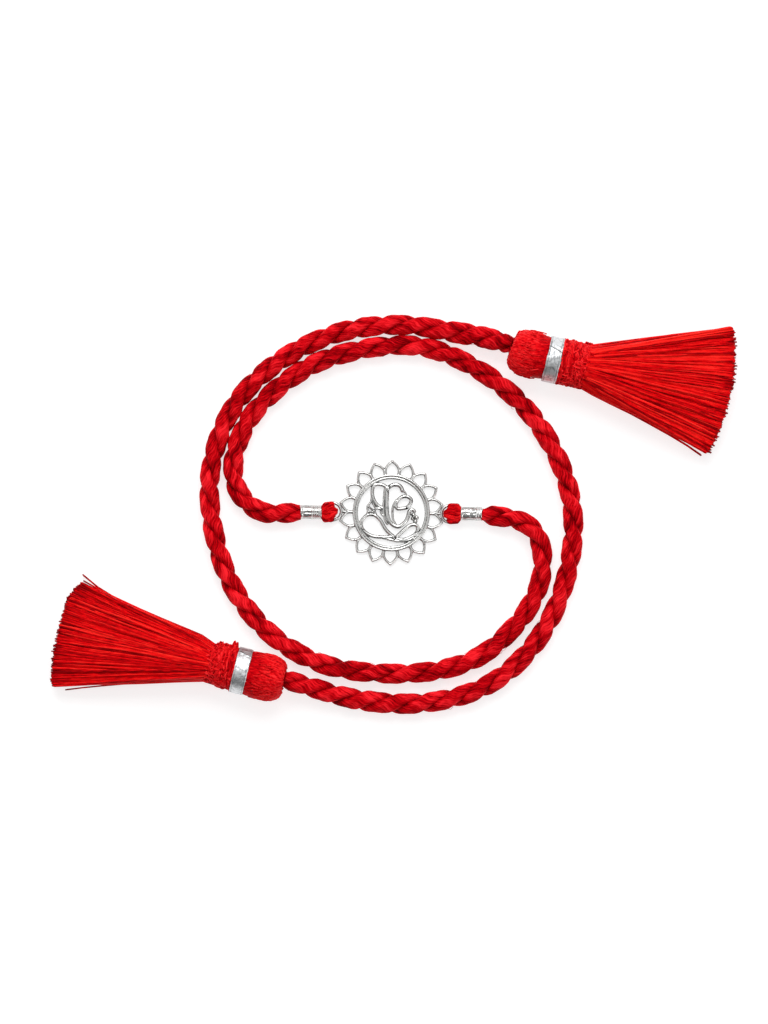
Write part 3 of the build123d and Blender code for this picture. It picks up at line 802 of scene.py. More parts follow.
@dataclass
class Sleeve:
    """A crimped silver sleeve: a short tube with ribs, a flared end and a seam where its edges meet on top."""

    side: Side
    centre_y: float
    ribs: Points                  # place along the sleeve, half width, rise
    seam: tuple[float, float]     # where the open seam starts and ends along the sleeve
    seed: int
    length: float = SLEEVE_END - SLEEVE_START
    radius: float = 1.33
    bore: float = 1.0
    bore_rows: int = 30
    sides: int = 64
    rounding: float = 0.07        # how far the ends curl in
    dent: float = 0.03
    seam_depth: float = 0.28
    seam_angle: float = math.pi / 2.0 - 0.05
    # painted shade in the seam's groove
    seam_dark: float = 0.36
    crimp_dark: float = 0.45      # painted shade low on the sides, between the ribs
    # painted shade through the bore
    bore_dark: float = 0.8
    sharp_degrees: float = 50.0

    def build(self, finish: Silver) -> bpy.types.Object:
        """A closed ring of rows: along the outside, round the end, back through the bore.

        Args:
            finish: What it is made of.

        Returns:
            The finished object.
        """
        along, angle = np.linspace(0.0, self.length, 90)[:, None], circle(self.sides)
        rise = highest(*(height * hump(along - place, half) for place, half, height in self.ribs))
        rounding = self.rounding * (np.exp(-along / 0.05) + np.exp((along - self.length) / 0.05))
        start, end = self.seam
        groove = (bell(angle - self.seam_angle, 0.10) * smooth_step((along - start) / 0.4)
                  * smooth_step((end - along) / 0.4))
        dents = self.dent * ripple(stack(along, 1.3 * np.cos(angle), 1.3 * np.sin(angle)), 1.1, self.seed)
        outer = self.radius + (rise - rounding) - self.seam_depth * groove + dents
        radii = np.vstack([outer, np.full((self.bore_rows, self.sides), self.bore)])
        rows = np.vstack([along, np.linspace(self.length, 0.0, self.bore_rows)[:, None]])
        ring = stack(self.side.sign * (SLEEVE_START + rows),
                     self.centre_y + self.side.sign * radii * np.cos(angle), CORD_AXIS + radii * np.sin(angle))
        # painted shade in the seam, low on the sides between the ribs and through the bore
        between = fading(rise, 0.06) * smooth_step((np.abs(np.cos(angle)) - 0.55) / 0.4)
        dark = np.full(radii.shape, self.bore_dark)
        dark[:len(along)] = highest(self.seam_dark * groove, self.crimp_dark * between)
        shell = Shell()
        shell.add_tubes(ring, closed=True, shade=-dark)
        return shell.build(self.side.named("crimped_sleeve"), finish.material(), self.side.named("sleeve"),
                           Slot.SILVER, self.sharp_degrees)


@dataclass
class YarnLoop:
    """The bundle of red yarns that goes through an eyelet and back, round its wire, into the sleeve."""

    side: Side
    centre_y: float
    nose: float                   # the loop's inner end, from the medallion's middle
    seed: int
    half_width: float = 2.0
    half_height: float = 1.1
    middle_height: float = 1.12
    yarns: int = 13
    yarn_radius: float = 0.33
    yarn_sides: int = 10
    nose_blend: float = 0.04      # share of length over which a yarn turns round at the nose
    # the core is painted shade: a dark drum that fills the gaps between the yarns
    core_shade: float = -0.7
    # share of length from the nose, share of half width, share of half height
    sections: Points = field(default_factory=lambda: [
        (0.0, 0.42, 0.50), (0.08, 0.54, 0.74), (0.18, 0.66, 0.90), (0.27, 0.92, 1.0), (0.38, 1.0, 1.0),
        (0.80, 1.0, 1.0), (0.91, 0.76, 0.94), (1.0, 0.46, 0.80), (1.1, 0.40, 0.72)])

    def section(self, share: Array) -> tuple[Array, Array, Array, Array]:
        """The bundle's shape, straight between the table's rows.

        Args:
            share: Shares of its length from the nose.

        Returns:
            Place along X, half width, half height and middle height.
        """
        table = np.array(self.sections)
        width = np.interp(share, table[:, 0], table[:, 1]) * self.half_width
        height = np.interp(share, table[:, 0], table[:, 2]) * self.half_height
        middle = self.middle_height + (CORD_AXIS - self.middle_height) * smooth_step((share - 0.55) / 0.45)
        return self.nose + share * (SLEEVE_START - self.nose), width, height, middle

    def build(self, finish: Silk) -> bpy.types.Object:
        """Yarns run back over the top to the nose, turn under and come forward below, round a core of painted
        shade.

        Args:
            finish: What it is made of.

        Returns:
            The finished object.
        """
        draw = np.random.default_rng(self.seed)
        last = self.sections[-1][0]
        way = np.linspace(-last, last, 49)
        spread = np.linspace(0.14, math.pi - 0.14, self.yarns) + draw.normal(0.0, 0.04, self.yarns)
        outer = smooth_step((np.abs(np.cos(spread)) - 0.62) / 0.25)[:, None]
        start = 0.25 * outer
        share = start + (np.hypot(way, self.nose_blend) - self.nose_blend) * (last - start) / last
        x, width, height, middle = self.section(share)
        phase = draw.uniform(0.0, 6.28, self.yarns)[:, None]
        angle = spread[:, None] + 0.10 * np.sin(3.0 * way + phase) + 0.22 * way
        room = 1.0 - 0.8 * self.yarn_radius / np.maximum(width, 0.5)
        bulge = 0.12 * outer * np.sign(np.cos(angle)) * bell(share - start, 0.12)
        y = self.centre_y * np.minimum(share, 1.0) + room * width * np.cos(angle) + bulge
        over = 0.40 + (0.44 + 0.05 * np.cos(2.0 * way + phase)) * np.sin(angle)
        lines = stack(self.side.sign * x, y, middle + np.tanh(way / 0.09) * over * height)
        tangent = unit(np.gradient(lines, axis=1))
        side = unit(np.cross(tangent, np.cross([0.0, 1.0, 0.0], tangent)) + [0.0, 1e-6, 0.0])
        radius = self.yarn_radius * (1.0 + 0.12 * np.sin(5.0 * way + 2.0 * phase))
        rings = lift_off_floor(tube_rings(lines, side, np.cross(tangent, side), radius, self.yarn_sides))
        twist = circle(self.yarn_sides) + (2.0 * way + phase)[..., None]
        fibre = polar(0.35, twist, (0.5 * way + 3.0 * phase)[..., None])
        # the outermost yarns get painted shade along the bundle's sides
        shade = draw.normal(-0.05, 0.30, self.yarns)[:, None] - 0.45 * outer
        shell = Shell()
        shell.add_tubes(rings, shade=shade[..., None], fibre=fibre)
        core, turn = np.linspace(0.05, last, 24)[:, None], circle(28)
        x, width, height, middle = self.section(core)
        drum = stack(self.side.sign * x,
                     self.centre_y * np.minimum(core, 1.0) + self.side.sign * 0.8 * width * np.cos(turn),
                     middle + 0.72 * height * np.sin(turn))
        shell.add_tubes(drum, shade=self.core_shade)
        return shell.build(self.side.named("yarn_loop"), finish.material(), self.side.named("thread_loop"),
                           Slot.THREAD)


@dataclass
class TwistedCord:
    """A two-ply twisted silk cord along its route.

    The plies circle the cord's axis once in every lay, pressed flat against each other. Their filaments, which
    are twisted the other way, lean a little past the cord's own direction.
    """

    side: Side
    route: Points
    twist: Points                 # place along the cord and how far the twist runs ahead there
    loosened: tuple[float, float, float]   # place along the cord where it is slacker, half length, how much
    seed: int
    lay: float = 12.4
    ply_offset: float = 0.95      # from the cord's axis to a ply's middle
    ply_outward: float = 1.06
    ply_inward: float = 1.16
    ply_across: float = 1.54
    yarns: int = 14               # ridges round a ply
    ridge: float = 0.055
    filament_turn: float = 1.08   # radians that the filaments turn back round the ply in a millimetre
    spacing: float = 0.2
    sides: int = 34
    first_turn: float = 0.6       # the angle at which the first ply starts, in radians
    close_length: float = 1.9     # the ends taper to their share of the full thickness over this length
    close_share: float = 0.74
    fibres: int = 36              # loose ones that stand off
    fibre_radius: float = 0.035

    def centre_line(self) -> Array:
        """The cord's axis, read from the NURBS spline with the route's points.

        Returns:
            Evenly spaced points, in millimetres.
        """
        curve = bpy.data.curves.new(self.side.named("route"), "CURVE")
        curve.dimensions = "3D"
        spline = curve.splines.new("NURBS")
        spline.points.add(len(self.route) - 1)
        points = np.array([(*point, CORD_AXIS)[:3] for point in self.route])
        controls = np.column_stack([points * MM, np.ones(len(points))])
        spline.points.foreach_set("co", controls.ravel())
        spline.order_u = 3
        spline.use_endpoint_u = True
        spline.resolution_u = 64
        holder = bpy.data.objects.new(curve.name, curve)
        mesh = bpy.data.meshes.new_from_object(holder)
        line = np.empty(len(mesh.vertices) * 3)
        mesh.vertices.foreach_get("co", line)
        bpy.data.objects.remove(holder)
        bpy.data.curves.remove(curve)
        bpy.data.meshes.remove(mesh)
        line = line.reshape(-1, 3) / MM
        place = np.concatenate([[0.0], np.cumsum(np.linalg.norm(np.diff(line, axis=0), axis=1))])
        at = np.linspace(0.0, place[-1], int(place[-1] / self.spacing) + 1)
        return np.column_stack([np.interp(at, place, line[:, k]) for k in range(3)])

    def add_ply(self, shell: Shell, line: Array, number: int) -> None:
        """Adds one ply's surface to the shell.

        Args:
            shell: Takes the points and faces.
            line: The cord's centre line.
            number: 0 or 1, half a turn apart.
        """
        along = np.arange(len(line)) * self.spacing
        _, side, up = side_and_up(line)
        marks = np.column_stack([along, np.full(len(line), 31.0 * number)])
        ahead = np.interp(along, *np.array(self.twist).T)
        uneven = 0.16 * ripple(along[:, None], 24.0, self.seed) + 0.05 * ripple(marks, 9.0, self.seed + 1)
        turn = (number * math.pi + self.first_turn - TURN * (along + ahead) / self.lay + uneven)[:, None]
        outward = np.cos(turn) * side + np.sin(turn) * up
        across = np.cos(turn) * up - np.sin(turn) * side
        roll = circle(self.sides)
        filament = roll - self.filament_turn * along[:, None]
        places = polar(1.15, filament, 0.16 * along[:, None] + 40.0 * number)
        wander = 0.30 * ripple(places * [1.0, 1.0, 0.8], 2.6, self.seed + 3 + number)
        ridges = np.abs(np.cos(0.5 * self.yarns * filament + 3.0 * wander)) - 0.62
        lumps = ripple(places, 1.5, self.seed + 5)
        relief = self.ridge * ridges + 0.022 * lumps
        place, half, amount = self.loosened
        swell = 1.0 - 0.03 * np.abs(ripple(marks, 7.0, self.seed + 7)) + amount * bell(along - place, half)
        to_end = np.minimum(along, along[-1] - along)
        close = self.close_share + (1.0 - self.close_share) * smooth_step(to_end / self.close_length)
        size = (swell * close)[:, None]
        outer = np.cos(roll) > 0.0
        depth = np.where(outer, self.ply_outward, self.ply_inward)
        squareness = np.where(outer, 0.90, 0.48)
        out = size * (depth + np.minimum(relief, 0.04)) * np.cos(roll) + (self.ply_offset * close)[:, None]
        wide = size * (self.ply_across + relief) * np.sign(np.sin(roll)) * np.abs(np.sin(roll)) ** squareness
        rings = line[:, None] + out[..., None] * outward[:, None] + wide[..., None] * across[:, None]
        patches = ripple(places * [1.0, 1.0, 1.2], 2.0, self.seed + 9)
        # painted highlights on the yarns' ridges, painted shade in the crease between the plies; lumps and
        # patches are random tone
        shade = (0.8 * ridges + 0.15 * lumps + 0.42 * patches - 0.6 * np.clip(-np.cos(roll), 0.0, 1.0)
                 + 0.12 * ripple(marks, 11.0, self.seed + 8)[:, None])
        shell.add_tubes(lift_off_floor(rings), shade=shade, fibre=places * [1.0, 1.0, 0.7])

    def add_fuzz(self, shell: Shell, line: Array) -> None:
        """Adds short loose fibres that leave the surface in small arcs.

        Args:
            shell: Takes the points and faces.
            line: The cord's centre line.
        """
        draw = np.random.default_rng(self.seed + 20)
        count = self.fibres
        start = draw.integers(12, len(line) - 30, count)[:, None]
        _, side, up = side_and_up(line)
        angle = draw.uniform(-0.35, math.pi + 0.35, count)[:, None]
        share = np.linspace(0.0, 1.0, 7)
        reach = draw.uniform(0.5, 1.5, count)[:, None]
        height = draw.uniform(0.10, 0.36, count)[:, None]
        rise = 1.75 + height * np.sin(share * draw.uniform(1.6, 3.0, count)[:, None])
        lean = (angle + draw.normal(0.0, 0.25, count)[:, None] * share)[..., None]
        index = np.clip(start + (share * reach / self.spacing).round().astype(int), 0, len(line) - 1)
        lines = line[index] + rise[..., None] * (np.cos(lean) * side[index] + np.sin(lean) * up[index])
        lines[..., 2] = np.maximum(lines[..., 2], 0.1)
        shell.add_tubes(thread_tubes(lines + NUDGE * share[:, None], self.fibre_radius, 4), shade=0.1)

    def build(self, finish: Silk) -> bpy.types.Object:
        """Both plies and the fuzz, as one piece.

        Args:
            finish: What it is made of.

        Returns:
            The finished object.
        """
        self.line = self.centre_line()
        self.length = self.spacing * (len(self.line) - 1)
        shell = Shell()
        for number in (0, 1):
            self.add_ply(shell, self.line, number)
        self.add_fuzz(shell, self.line)
        return shell.build(self.side.named("twisted_cord"), finish.material(), self.side.named("cord"),
                           Slot.CORD)

    def declare(self, piece: bpy.types.Object, end_pieces: list[bpy.types.Object]) -> None:
        """Turns the tassel's pieces into a list and does nothing more with them.

        Args:
            piece: The cord's object; not used.
            end_pieces: The tassel's pieces at its end.
        """
        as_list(end_pieces)


@dataclass
class Tassel:
    """A tassel: folded head, foil band, matted collar and a spread skirt of threads.

    Its own frame has its origin at the band's middle, with x to the tassel's left, y up and z out along it.
    """

    side: Side
    route: Points
    axis_angle: float             # the way from the cord's end to the skirt, in degrees from X
    axis_offset: float            # how far the axis lies to the left of the cord's end
    skirt_length: float
    skirt_width: float
    drift: float                  # how far the skirt's end is moved to the left
    skirt_tone: float             # how much lighter than its thread's own colour the skirt is
    flare: float                  # how far its right edge swells next to the collar
    end_slant: float              # how much further out the skirt's left edge ends than its middle
    end_inset: float              # how much the skirt's end is flatter than an arc about the band
    corner: float                 # how much its right corner is rounded off
    collar_radii: tuple[float, float]   # next to the band and at the skirt
    frays: Points                 # clumps of loops on the collar: angle in degrees, place along, size
    seam_angle: float             # where the band's end shows, in degrees from the left over the top
    band_shift: float             # how far the band sits to the left of the axis
    band_edge_shadow: tuple[float, float]   # degrees between which its inner edge gets a painted shadow line, both 0 for none
    dimple: tuple[float, float]   # where the cord goes in: left and up from the axis
    strays: Points                # a loose thread's end: to the left, out along the tassel and above the floor
    seed: int
    strands: int = 1060
    strand_radius: float = 0.185
    skirt_top: float = 4.62       # heights of the skirt's end above the floor
    skirt_low: float = 0.25
    locks: float = 19.0           # loose locks that the skirt falls into
    folds: float = 26.0           # pairs of ridges round the head
    head_threads: int = 130
    slack_turns: int = 13         # of thread round the collar
    collar_loops: int = 460
    fray_loops: int = 20          # of them, in each fray
    band_bore: float = 4.36
    band_bore_rows: int = 8
    band_sharp_degrees: float = 60.0
    # the head from the dimple over the top to the band: place along, radius
    head_outline: Points = field(default_factory=lambda: [
        (-7.2, 0.05), (-8.0, 0.9), (-8.75, 1.5), (-8.9, 2.5), (-8.45, 3.5), (-7.25, 4.32), (-5.0, 4.64),
        (-2.6, 4.60), (-1.4, 4.46), (-0.9, 4.36)])

    def __post_init__(self) -> None:
        """Works out the frame from the cord's end."""
        angle = math.radians(self.axis_angle)
        self.out = np.array([math.cos(angle), math.sin(angle), 0.0])
        self.left = np.array([-math.sin(angle), math.cos(angle), 0.0])
        x, y, _ = self.route[-1]
        self.centre = (np.array([x, y, AXIS_HEIGHT]) + self.left * self.axis_offset
                       + self.out * (HEAD_LENGTH + BAND_WIDTH / 2.0 - CORD_POCKET))
        self.collar_end = BAND_WIDTH / 2.0 + COLLAR_LENGTH

    def place(self, points: Array) -> Array:
        """The same points in the bracelet's frame, none of them under the floor."""
        return lift_off_floor(self.centre + points @ np.array([self.left, Z_AXIS, self.out]))

    def arches(self, reach: Array, angle: Array, along: Array, bend: Array, slant: Array, lift: Array,
               radius: Array | float) -> Array:
        """Short threads that leave a round surface, rise by half a sine wave and come back to it.

        Args:
            reach: Distance of each thread's start from the tassel's axis.
            angle: Angle of the start about the axis.
            along: Place of the start along the axis.
            bend: How far the thread runs round the axis.
            slant: How far it runs along the axis.
            lift: How far its middle rises.
            radius: One thread radius, or an array that fits (threads, points).

        Returns:
            Rings in the bracelet's frame.
        """
        share = np.linspace(0.0, 1.0, 7)[:, None]
        ways = stack(-np.sin(angle) * bend, np.cos(angle) * bend, slant)
        lines = polar(reach, angle, along)[:, None] + share * ways[:, None]
        level = reach[:, None, None] - np.linalg.norm(lines[..., :2], axis=-1, keepdims=True)
        rise = level + lift[:, None, None] * np.sin(math.pi * share)
        lines = lines + unit(lines * [1.0, 1.0, 0.0]) * rise
        return thread_tubes(self.place(lines) + NUDGE * share, radius, 5)

    def build_head(self, finish: Silk) -> bpy.types.Object:
        """Folded threads over the head: a turned outline with ridges along it, a dimple and loose threads.

        Args:
            finish: What it is made of.

        Returns:
            The finished object.
        """
        outline = smooth_line(self.head_outline, step=0.115)
        turn = circle(200)
        along, radius = outline[:, :1], np.maximum(outline[:, 1:], 0.02)
        places = polar(radius, turn, along)
        wander = ripple(places * [0.55, 0.55, 0.35], 1.6, self.seed)
        fold = np.abs(np.cos(self.folds * turn + 2.6 * wander)) - 0.6
        matted = ripple(places, 0.85, self.seed + 1)
        lobes = ripple(places * [1.0, 1.0, 0.5], 5.0, self.seed + 2)
        tight = smooth_step((along + 4.3) / 1.1)
        inside = smooth_step((radius - 1.2) / 1.6)
        relief = inside * ((0.09 - 0.06 * tight) * fold + (0.05 - 0.035 * tight) * matted + 0.13 * lobes - 0.10)
        off_dimple = ((places[..., :2] - 1.6 * np.array(self.dimple)) ** 2).sum(-1)
        near = np.exp(-off_dimple / 3.2) * smooth_step((-6.4 - along) / 1.6)
        solid = polar(radius + relief, turn, along + 1.1 * near + 0.10 * inside * matted * (along < -7.6))
        # painted light on the folds' ridges, painted shade in the dimple and the hollow near the axis; darker
        # towards the band
        shade = ((1.0 - 0.7 * tight) * (0.7 * fold + 0.22 * matted) + 0.14 - 0.46 * tight - 0.8 * near
                 - 0.8 * (1.0 - inside))
        shell = Shell()
        shell.add_tubes(self.place(solid), shade=shade, fibre=polar(4.5, turn + 0.03 * wander, 0.22 * along))
        draw = np.random.default_rng(self.seed + 3)
        count = self.head_threads
        angle = draw.uniform(0.0, TURN, count)
        start = draw.uniform(-8.3, -4.0, count)
        reach = np.interp(start, *outline[np.argmin(outline[:, 0]):].T)
        run = draw.uniform(0.8, 2.2, count)
        bend = draw.normal(0.0, 0.35, count)
        rings = self.arches(reach, angle, start, bend, run, draw.uniform(0.02, 0.16, count), 0.12)
        shell.add_tubes(rings, shade=draw.normal(0.25, 0.2, count)[:, None, None])
        return shell.build(self.side.named("tassel_head"), finish.material(), self.side.named("tassel"),
                           Slot.THREAD)

    def build_band(self, finish: Silver) -> bpy.types.Object:
        """Crinkled foil strip round the neck: creased noise on a cylinder, a rim line at each edge and a lap.

        Args:
            finish: What it is made of.

        Returns:
            The finished object.
        """
        half = BAND_WIDTH / 2.0
        turn, across = circle(190), np.linspace(-half, half, 26)[:, None]
        places = polar(BAND_RADIUS, turn, across)
        crease = 1.0 - 2.0 * np.abs(ripple(places * [1.0, 1.0, 0.7], 1.5, self.seed + 31))
        small = ripple(places, 0.6, self.seed + 32)
        lines = bell(ripple(places * [0.8, 0.8, 1.0], 1.7, self.seed + 34), 0.10)
        rim = bell(np.abs(across) - 1.08, 0.09)
        turned_in = fading(half - np.abs(across), 0.16)
        ahead = (turn - math.radians(self.seam_angle) - 0.07 * across) % TURN
        lap = np.clip(np.exp(-ahead / 0.5) * (ahead < 3.0) + bell(TURN - ahead, 0.025), 0.0, 1.0)
        outer = (BAND_RADIUS - 0.13 + self.band_shift * np.cos(turn) + 0.016 * crease + 0.010 * small
                 - 0.05 * rim - 0.03 * lines + 0.09 * lap - 0.10 * turned_in)
        waver = (0.05 * ripple(places[:1] * 0.5, 1.6, self.seed + 33) * np.sign(across)
                 * smooth_step((np.abs(across) - 0.9) / 0.5))
        back = np.tile(np.linspace(1.3, -1.3, self.band_bore_rows)[:, None], len(turn))
        ring = polar(np.vstack([outer, np.full(back.shape, self.band_bore)]), turn,
                     np.vstack([across + waver, back]))
        first, last = np.radians(self.band_edge_shadow)
        gap = smooth_step((turn - first) / 0.15) * smooth_step((last - turn) / 0.15)
        # painted shade: rim lines, the lap's edge, creases, and a shadow line under the inner edge; darker past
        # the seam
        dark = highest(0.50 * rim, 0.85 * bell(np.minimum(ahead, TURN - ahead), 0.03), 0.55 * lines,
                       (0.30 + 0.35 * lines) * (ahead < 0.45), bell(across + 1.12, 0.10) * gap)
        # painted shade on the turned-in edges and through the bore
        shade = -np.vstack([dark + 0.3 * turned_in, np.full(back.shape, 0.6)])
        shell = Shell()
        shell.add_tubes(self.place(ring), closed=True, shade=shade)
        return shell.build(self.side.named("foil_band"), finish.material(), self.side.named("band"),
                           Slot.FOIL, self.band_sharp_degrees)

    def collar_reach(self, along: Array) -> Array:
        """Radius of the collar at places along the tassel."""
        return np.interp(along, [BAND_WIDTH / 2.0, self.collar_end], self.collar_radii)

    def build_collar(self, finish: Silk) -> bpy.types.Object:
        """Matted wound thread: a lumpy drum, a few slack turns, and short threads and loops all over them.

        Args:
            finish: What it is made of.

        Returns:
            The finished object.
        """
        draw = np.random.default_rng(self.seed + 40)
        start, end = BAND_WIDTH / 2.0 - 0.05, self.collar_end
        shell = Shell()
        along, turn = np.linspace(start, end + 0.5, 64)[:, None], circle(240)
        places = polar(4.1, turn, along)
        wander = ripple(places, 2.2, self.seed + 45)
        knots = np.abs(ripple(places * [1.0, 1.0, 1.6], 1.3, self.seed + 41))
        hairs = np.abs(np.cos(30.0 * turn + 5.0 * along + 6.0 * wander))
        radius = (self.collar_reach(along) - 0.34 + 0.20 * knots + 0.07 * hairs
                  - 0.5 * smooth_step((along - end) / 0.5))
        fibre = stack(0.5 * places[..., 0], 0.5 * places[..., 1] + 0.3 * wander, 0.8 * along)
        # painted light on the lumps and ridges, painted shade between them
        shade = 0.55 * (knots - 0.7) + 0.5 * (hairs - 0.6)
        shell.add_tubes(self.place(polar(radius, turn, along)), shade=shade, fibre=fibre)
        self.add_slack_turns(shell, draw, start, end)
        self.add_loops(shell, draw, start, end)
        return shell.build(self.side.named("wound_collar"), finish.material(), self.side.named("collar"),
                           Slot.THREAD)

    def add_slack_turns(self, shell: Shell, draw: np.random.Generator, start: float, end: float) -> None:
        """Adds closed turns of thread that lean and wander a little round the collar.

        Args:
            shell: Takes the points and faces.
            draw: Random numbers.
            start: Where the collar starts along the tassel.
            end: Where it ends.
        """
        angle = circle(60)
        middle = np.sort(draw.uniform(start + 0.3, end - 0.5, self.slack_turns))[:, None]
        lean = draw.normal(0.0, 0.5, self.slack_turns)[:, None]
        phase = draw.uniform(0.0, 6.28, self.slack_turns)[:, None]
        path = polar(1.0, angle, middle)
        wide = path * [3.0, 3.0, 1.0]
        along = middle + lean * np.cos(angle - phase) + 0.22 * ripple(wide, 2.0, self.seed + 42)
        along = np.clip(along, start + 0.1, end)
        reach = self.collar_reach(along) - 0.12 + 0.12 * ripple(wide, 1.8, self.seed + 43)
        radius = 0.17 + 0.04 * ripple(path * 4.0, 2.0, self.seed + 44)
        rings = tube_rings(polar(reach, angle, along), Z_AXIS, polar(1.0, angle, 0.0), radius, 6)
        twist = circle(6) + (6.0 * angle + phase)[..., None]
        fibre = polar(0.25, twist, (0.6 * angle + 5.0 * phase)[..., None])
        tone = draw.normal(0.10, 0.25, self.slack_turns)[:, None] + 0.25 * np.sin(3.0 * angle + phase)
        shell.add_tubes(self.place(rings), closed=True, shade=tone[..., None], fibre=fibre)

    def add_loops(self, shell: Shell, draw: np.random.Generator, start: float, end: float) -> None:
        """Adds short threads all over the collar, the first of them in the clumps of its frays.

        Args:
            shell: Takes the points and faces.
            draw: Random numbers.
            start: Where the collar starts along the tassel.
            end: Where it ends.
        """
        count, size = self.collar_loops, self.fray_loops
        angle = draw.uniform(0.0, TURN, count)
        along = np.clip(end + 0.2 - np.abs(draw.normal(0.0, 2.6, count)), start + 0.15, end + 0.2)
        bend, slant = draw.normal(0.0, 0.55, count), draw.normal(0.35, 0.55, count)
        lift = draw.uniform(0.04, 0.26, count)
        for number, (degrees, place, height) in enumerate(self.frays):
            clump = slice(number * size, (number + 1) * size)
            angle[clump] = math.radians(degrees) + draw.normal(0.0, 0.08, size)
            along[clump] = place + draw.normal(0.0, 0.32, size)
            bend[clump], slant[clump] = draw.normal(0.0, 0.35, size), draw.normal(0.0, 0.45, size)
            lift[clump] = height * draw.uniform(0.2, 1.0, size)
        frayed = np.arange(count)[:, None] < len(self.frays) * size
        radius = np.where(frayed, 0.19, 0.13)
        rings = self.arches(self.collar_reach(along) - 0.14, angle, along, bend, slant, lift, radius)
        tone = draw.normal(0.30, 0.38, count)[:, None] - 0.3 * frayed
        shell.add_tubes(rings, shade=tone[..., None])

    def build_skirt(self, finish: Silk) -> bpy.types.Object:
        """Hundreds of thin threads from under the collar to an arc about the band.

        A thread has a place across the skirt and a layer, both from -1 to 1. Its root lies on a disc, with the
        same order as its end, so threads fan out without crossing, and then drift into loose locks.

        Args:
            finish: What it is made of.

        Returns:
            The finished object.
        """
        draw = np.random.default_rng(self.seed + 60)
        count = self.strands
        share_across = np.linspace(-1.0, 1.0, count)[draw.permutation(count)]
        crossing = np.arange(count) < count // 11
        layer = draw.uniform(-1.0, 1.0, count)
        layer[: count // 3] = draw.uniform(0.70, 1.0, count // 3)
        layer[count // 3: count // 2] = draw.uniform(-1.0, -0.7, count // 2 - count // 3)
        centre = np.round(share_across * self.locks / 2.0 + 0.35 * np.sin(9.0 * layer)) * 2.0 / self.locks
        end_across = share_across + 0.16 * (centre - share_across) + draw.normal(0.0, 0.012, count)
        end_across = np.clip(end_across + crossing * draw.normal(0.0, 0.10, count), -1.0, 1.0)
        layer = np.where(crossing, 1.04, layer)
        longer = draw.uniform(size=count) < 0.10
        reach = (self.collar_end + self.skirt_length + self.end_slant * end_across
                 - self.end_inset * (1.0 - end_across ** 2) - 0.25 + 0.42 * longer
                 - self.corner * np.clip((-0.5 - end_across) / 0.5, 0.0, 1.0) ** 2
                 + draw.normal(0.0, 0.16, count))
        half = self.skirt_width / 2.0 - self.strand_radius
        left = end_across * half * np.sqrt(1.0 - 0.10 * np.minimum(layer, 0.0) ** 2) + self.drift
        top = self.skirt_top - 0.7 * share_across ** 4
        height = self.skirt_low + (top - self.skirt_low) * (0.5 + 0.5 * layer) - AXIS_HEIGHT
        ends = stack(left, height, np.sqrt(np.maximum(reach ** 2 - left ** 2, 1.0)))
        start, disc = self.collar_end - 0.7, self.collar_radii[1] - 0.35
        roots = stack(disc * share_across * np.sqrt(1.0 - layer ** 2 / 2.0),
                      disc * layer * np.sqrt(1.0 - share_across ** 2 / 2.0), start)
        leave = np.zeros((count, 1, 3))
        for index, (to_left, out, above) in enumerate(self.strays):
            edge = math.copysign(1.0, to_left - self.drift)
            ends[index] = [edge * half * 0.99 + self.drift, above - AXIS_HEIGHT, out]
            roots[index] = [disc * edge * 0.92, 0.0, start]
            leave[index, 0, 0] = to_left - ends[index, 0]
        share = np.array([0.0, 0.025, 0.12, 0.26, 0.42, 0.58, 0.74, 0.88, 0.988, 1.0])[:, None]
        lines = roots[:, None] + share * (ends - roots)[:, None] + share ** 7 * leave
        lines[:, 0, :2] *= 0.86
        right = np.clip(-share_across, 0.0, 1.0)[:, None, None]
        lines[..., :1] -= self.flare * share / 0.13 * np.exp(1.0 - share / 0.13) * right ** 2
        wave = np.sin(math.pi * share)
        wobble = draw.normal(0.0, 0.17, (count, 1, 2))
        lines[..., :2] += wobble * wave + 0.3 * wobble[..., ::-1] * np.sin(3.0 * math.pi * share)
        lines[..., 1:2] += 0.35 * wave * layer[:, None, None]
        placed = self.place(lines)
        placed[..., 2] = np.maximum(placed[..., 2], self.strand_radius + FLOOR_CLEARANCE)
        tip = share[:, 0] > 0.98
        radius = self.strand_radius * (1.0 + draw.normal(0.0, 0.12, count)[:, None])
        rings = thread_tubes(placed, radius * np.where(share[:, 0] > 0.99, 0.85, 1.0), 5)
        tone = draw.normal(self.skirt_tone, 0.40, count)[:, None] - (0.35 + 0.9 * longer)[:, None] * tip
        code = draw.uniform(0.0, 60.0, count)[:, None, None]
        fibre = polar(0.17, circle(5), 4.0 * share + 0.5 * code) + code[..., None] * [1.0, 0.0, 0.0]
        shell = Shell()
        shell.add_tubes(rings, shade=tone[..., None], fibre=fibre)
        return shell.build(self.side.named("tassel_skirt"), finish.material(), self.side.named("tassel"),
                           Slot.THREAD)

    def build(self, matted: Silk, foil: Silver, loose: Silk) -> list[bpy.types.Object]:
        """Makes the four pieces.

        Args:
            matted: For head and collar.
            foil: For the band.
            loose: For the skirt.

        Returns:
            Head, band, collar and skirt, in that order.
        """
        return [self.build_head(matted), self.build_band(foil), self.build_collar(matted),
                self.build_skirt(loose)]


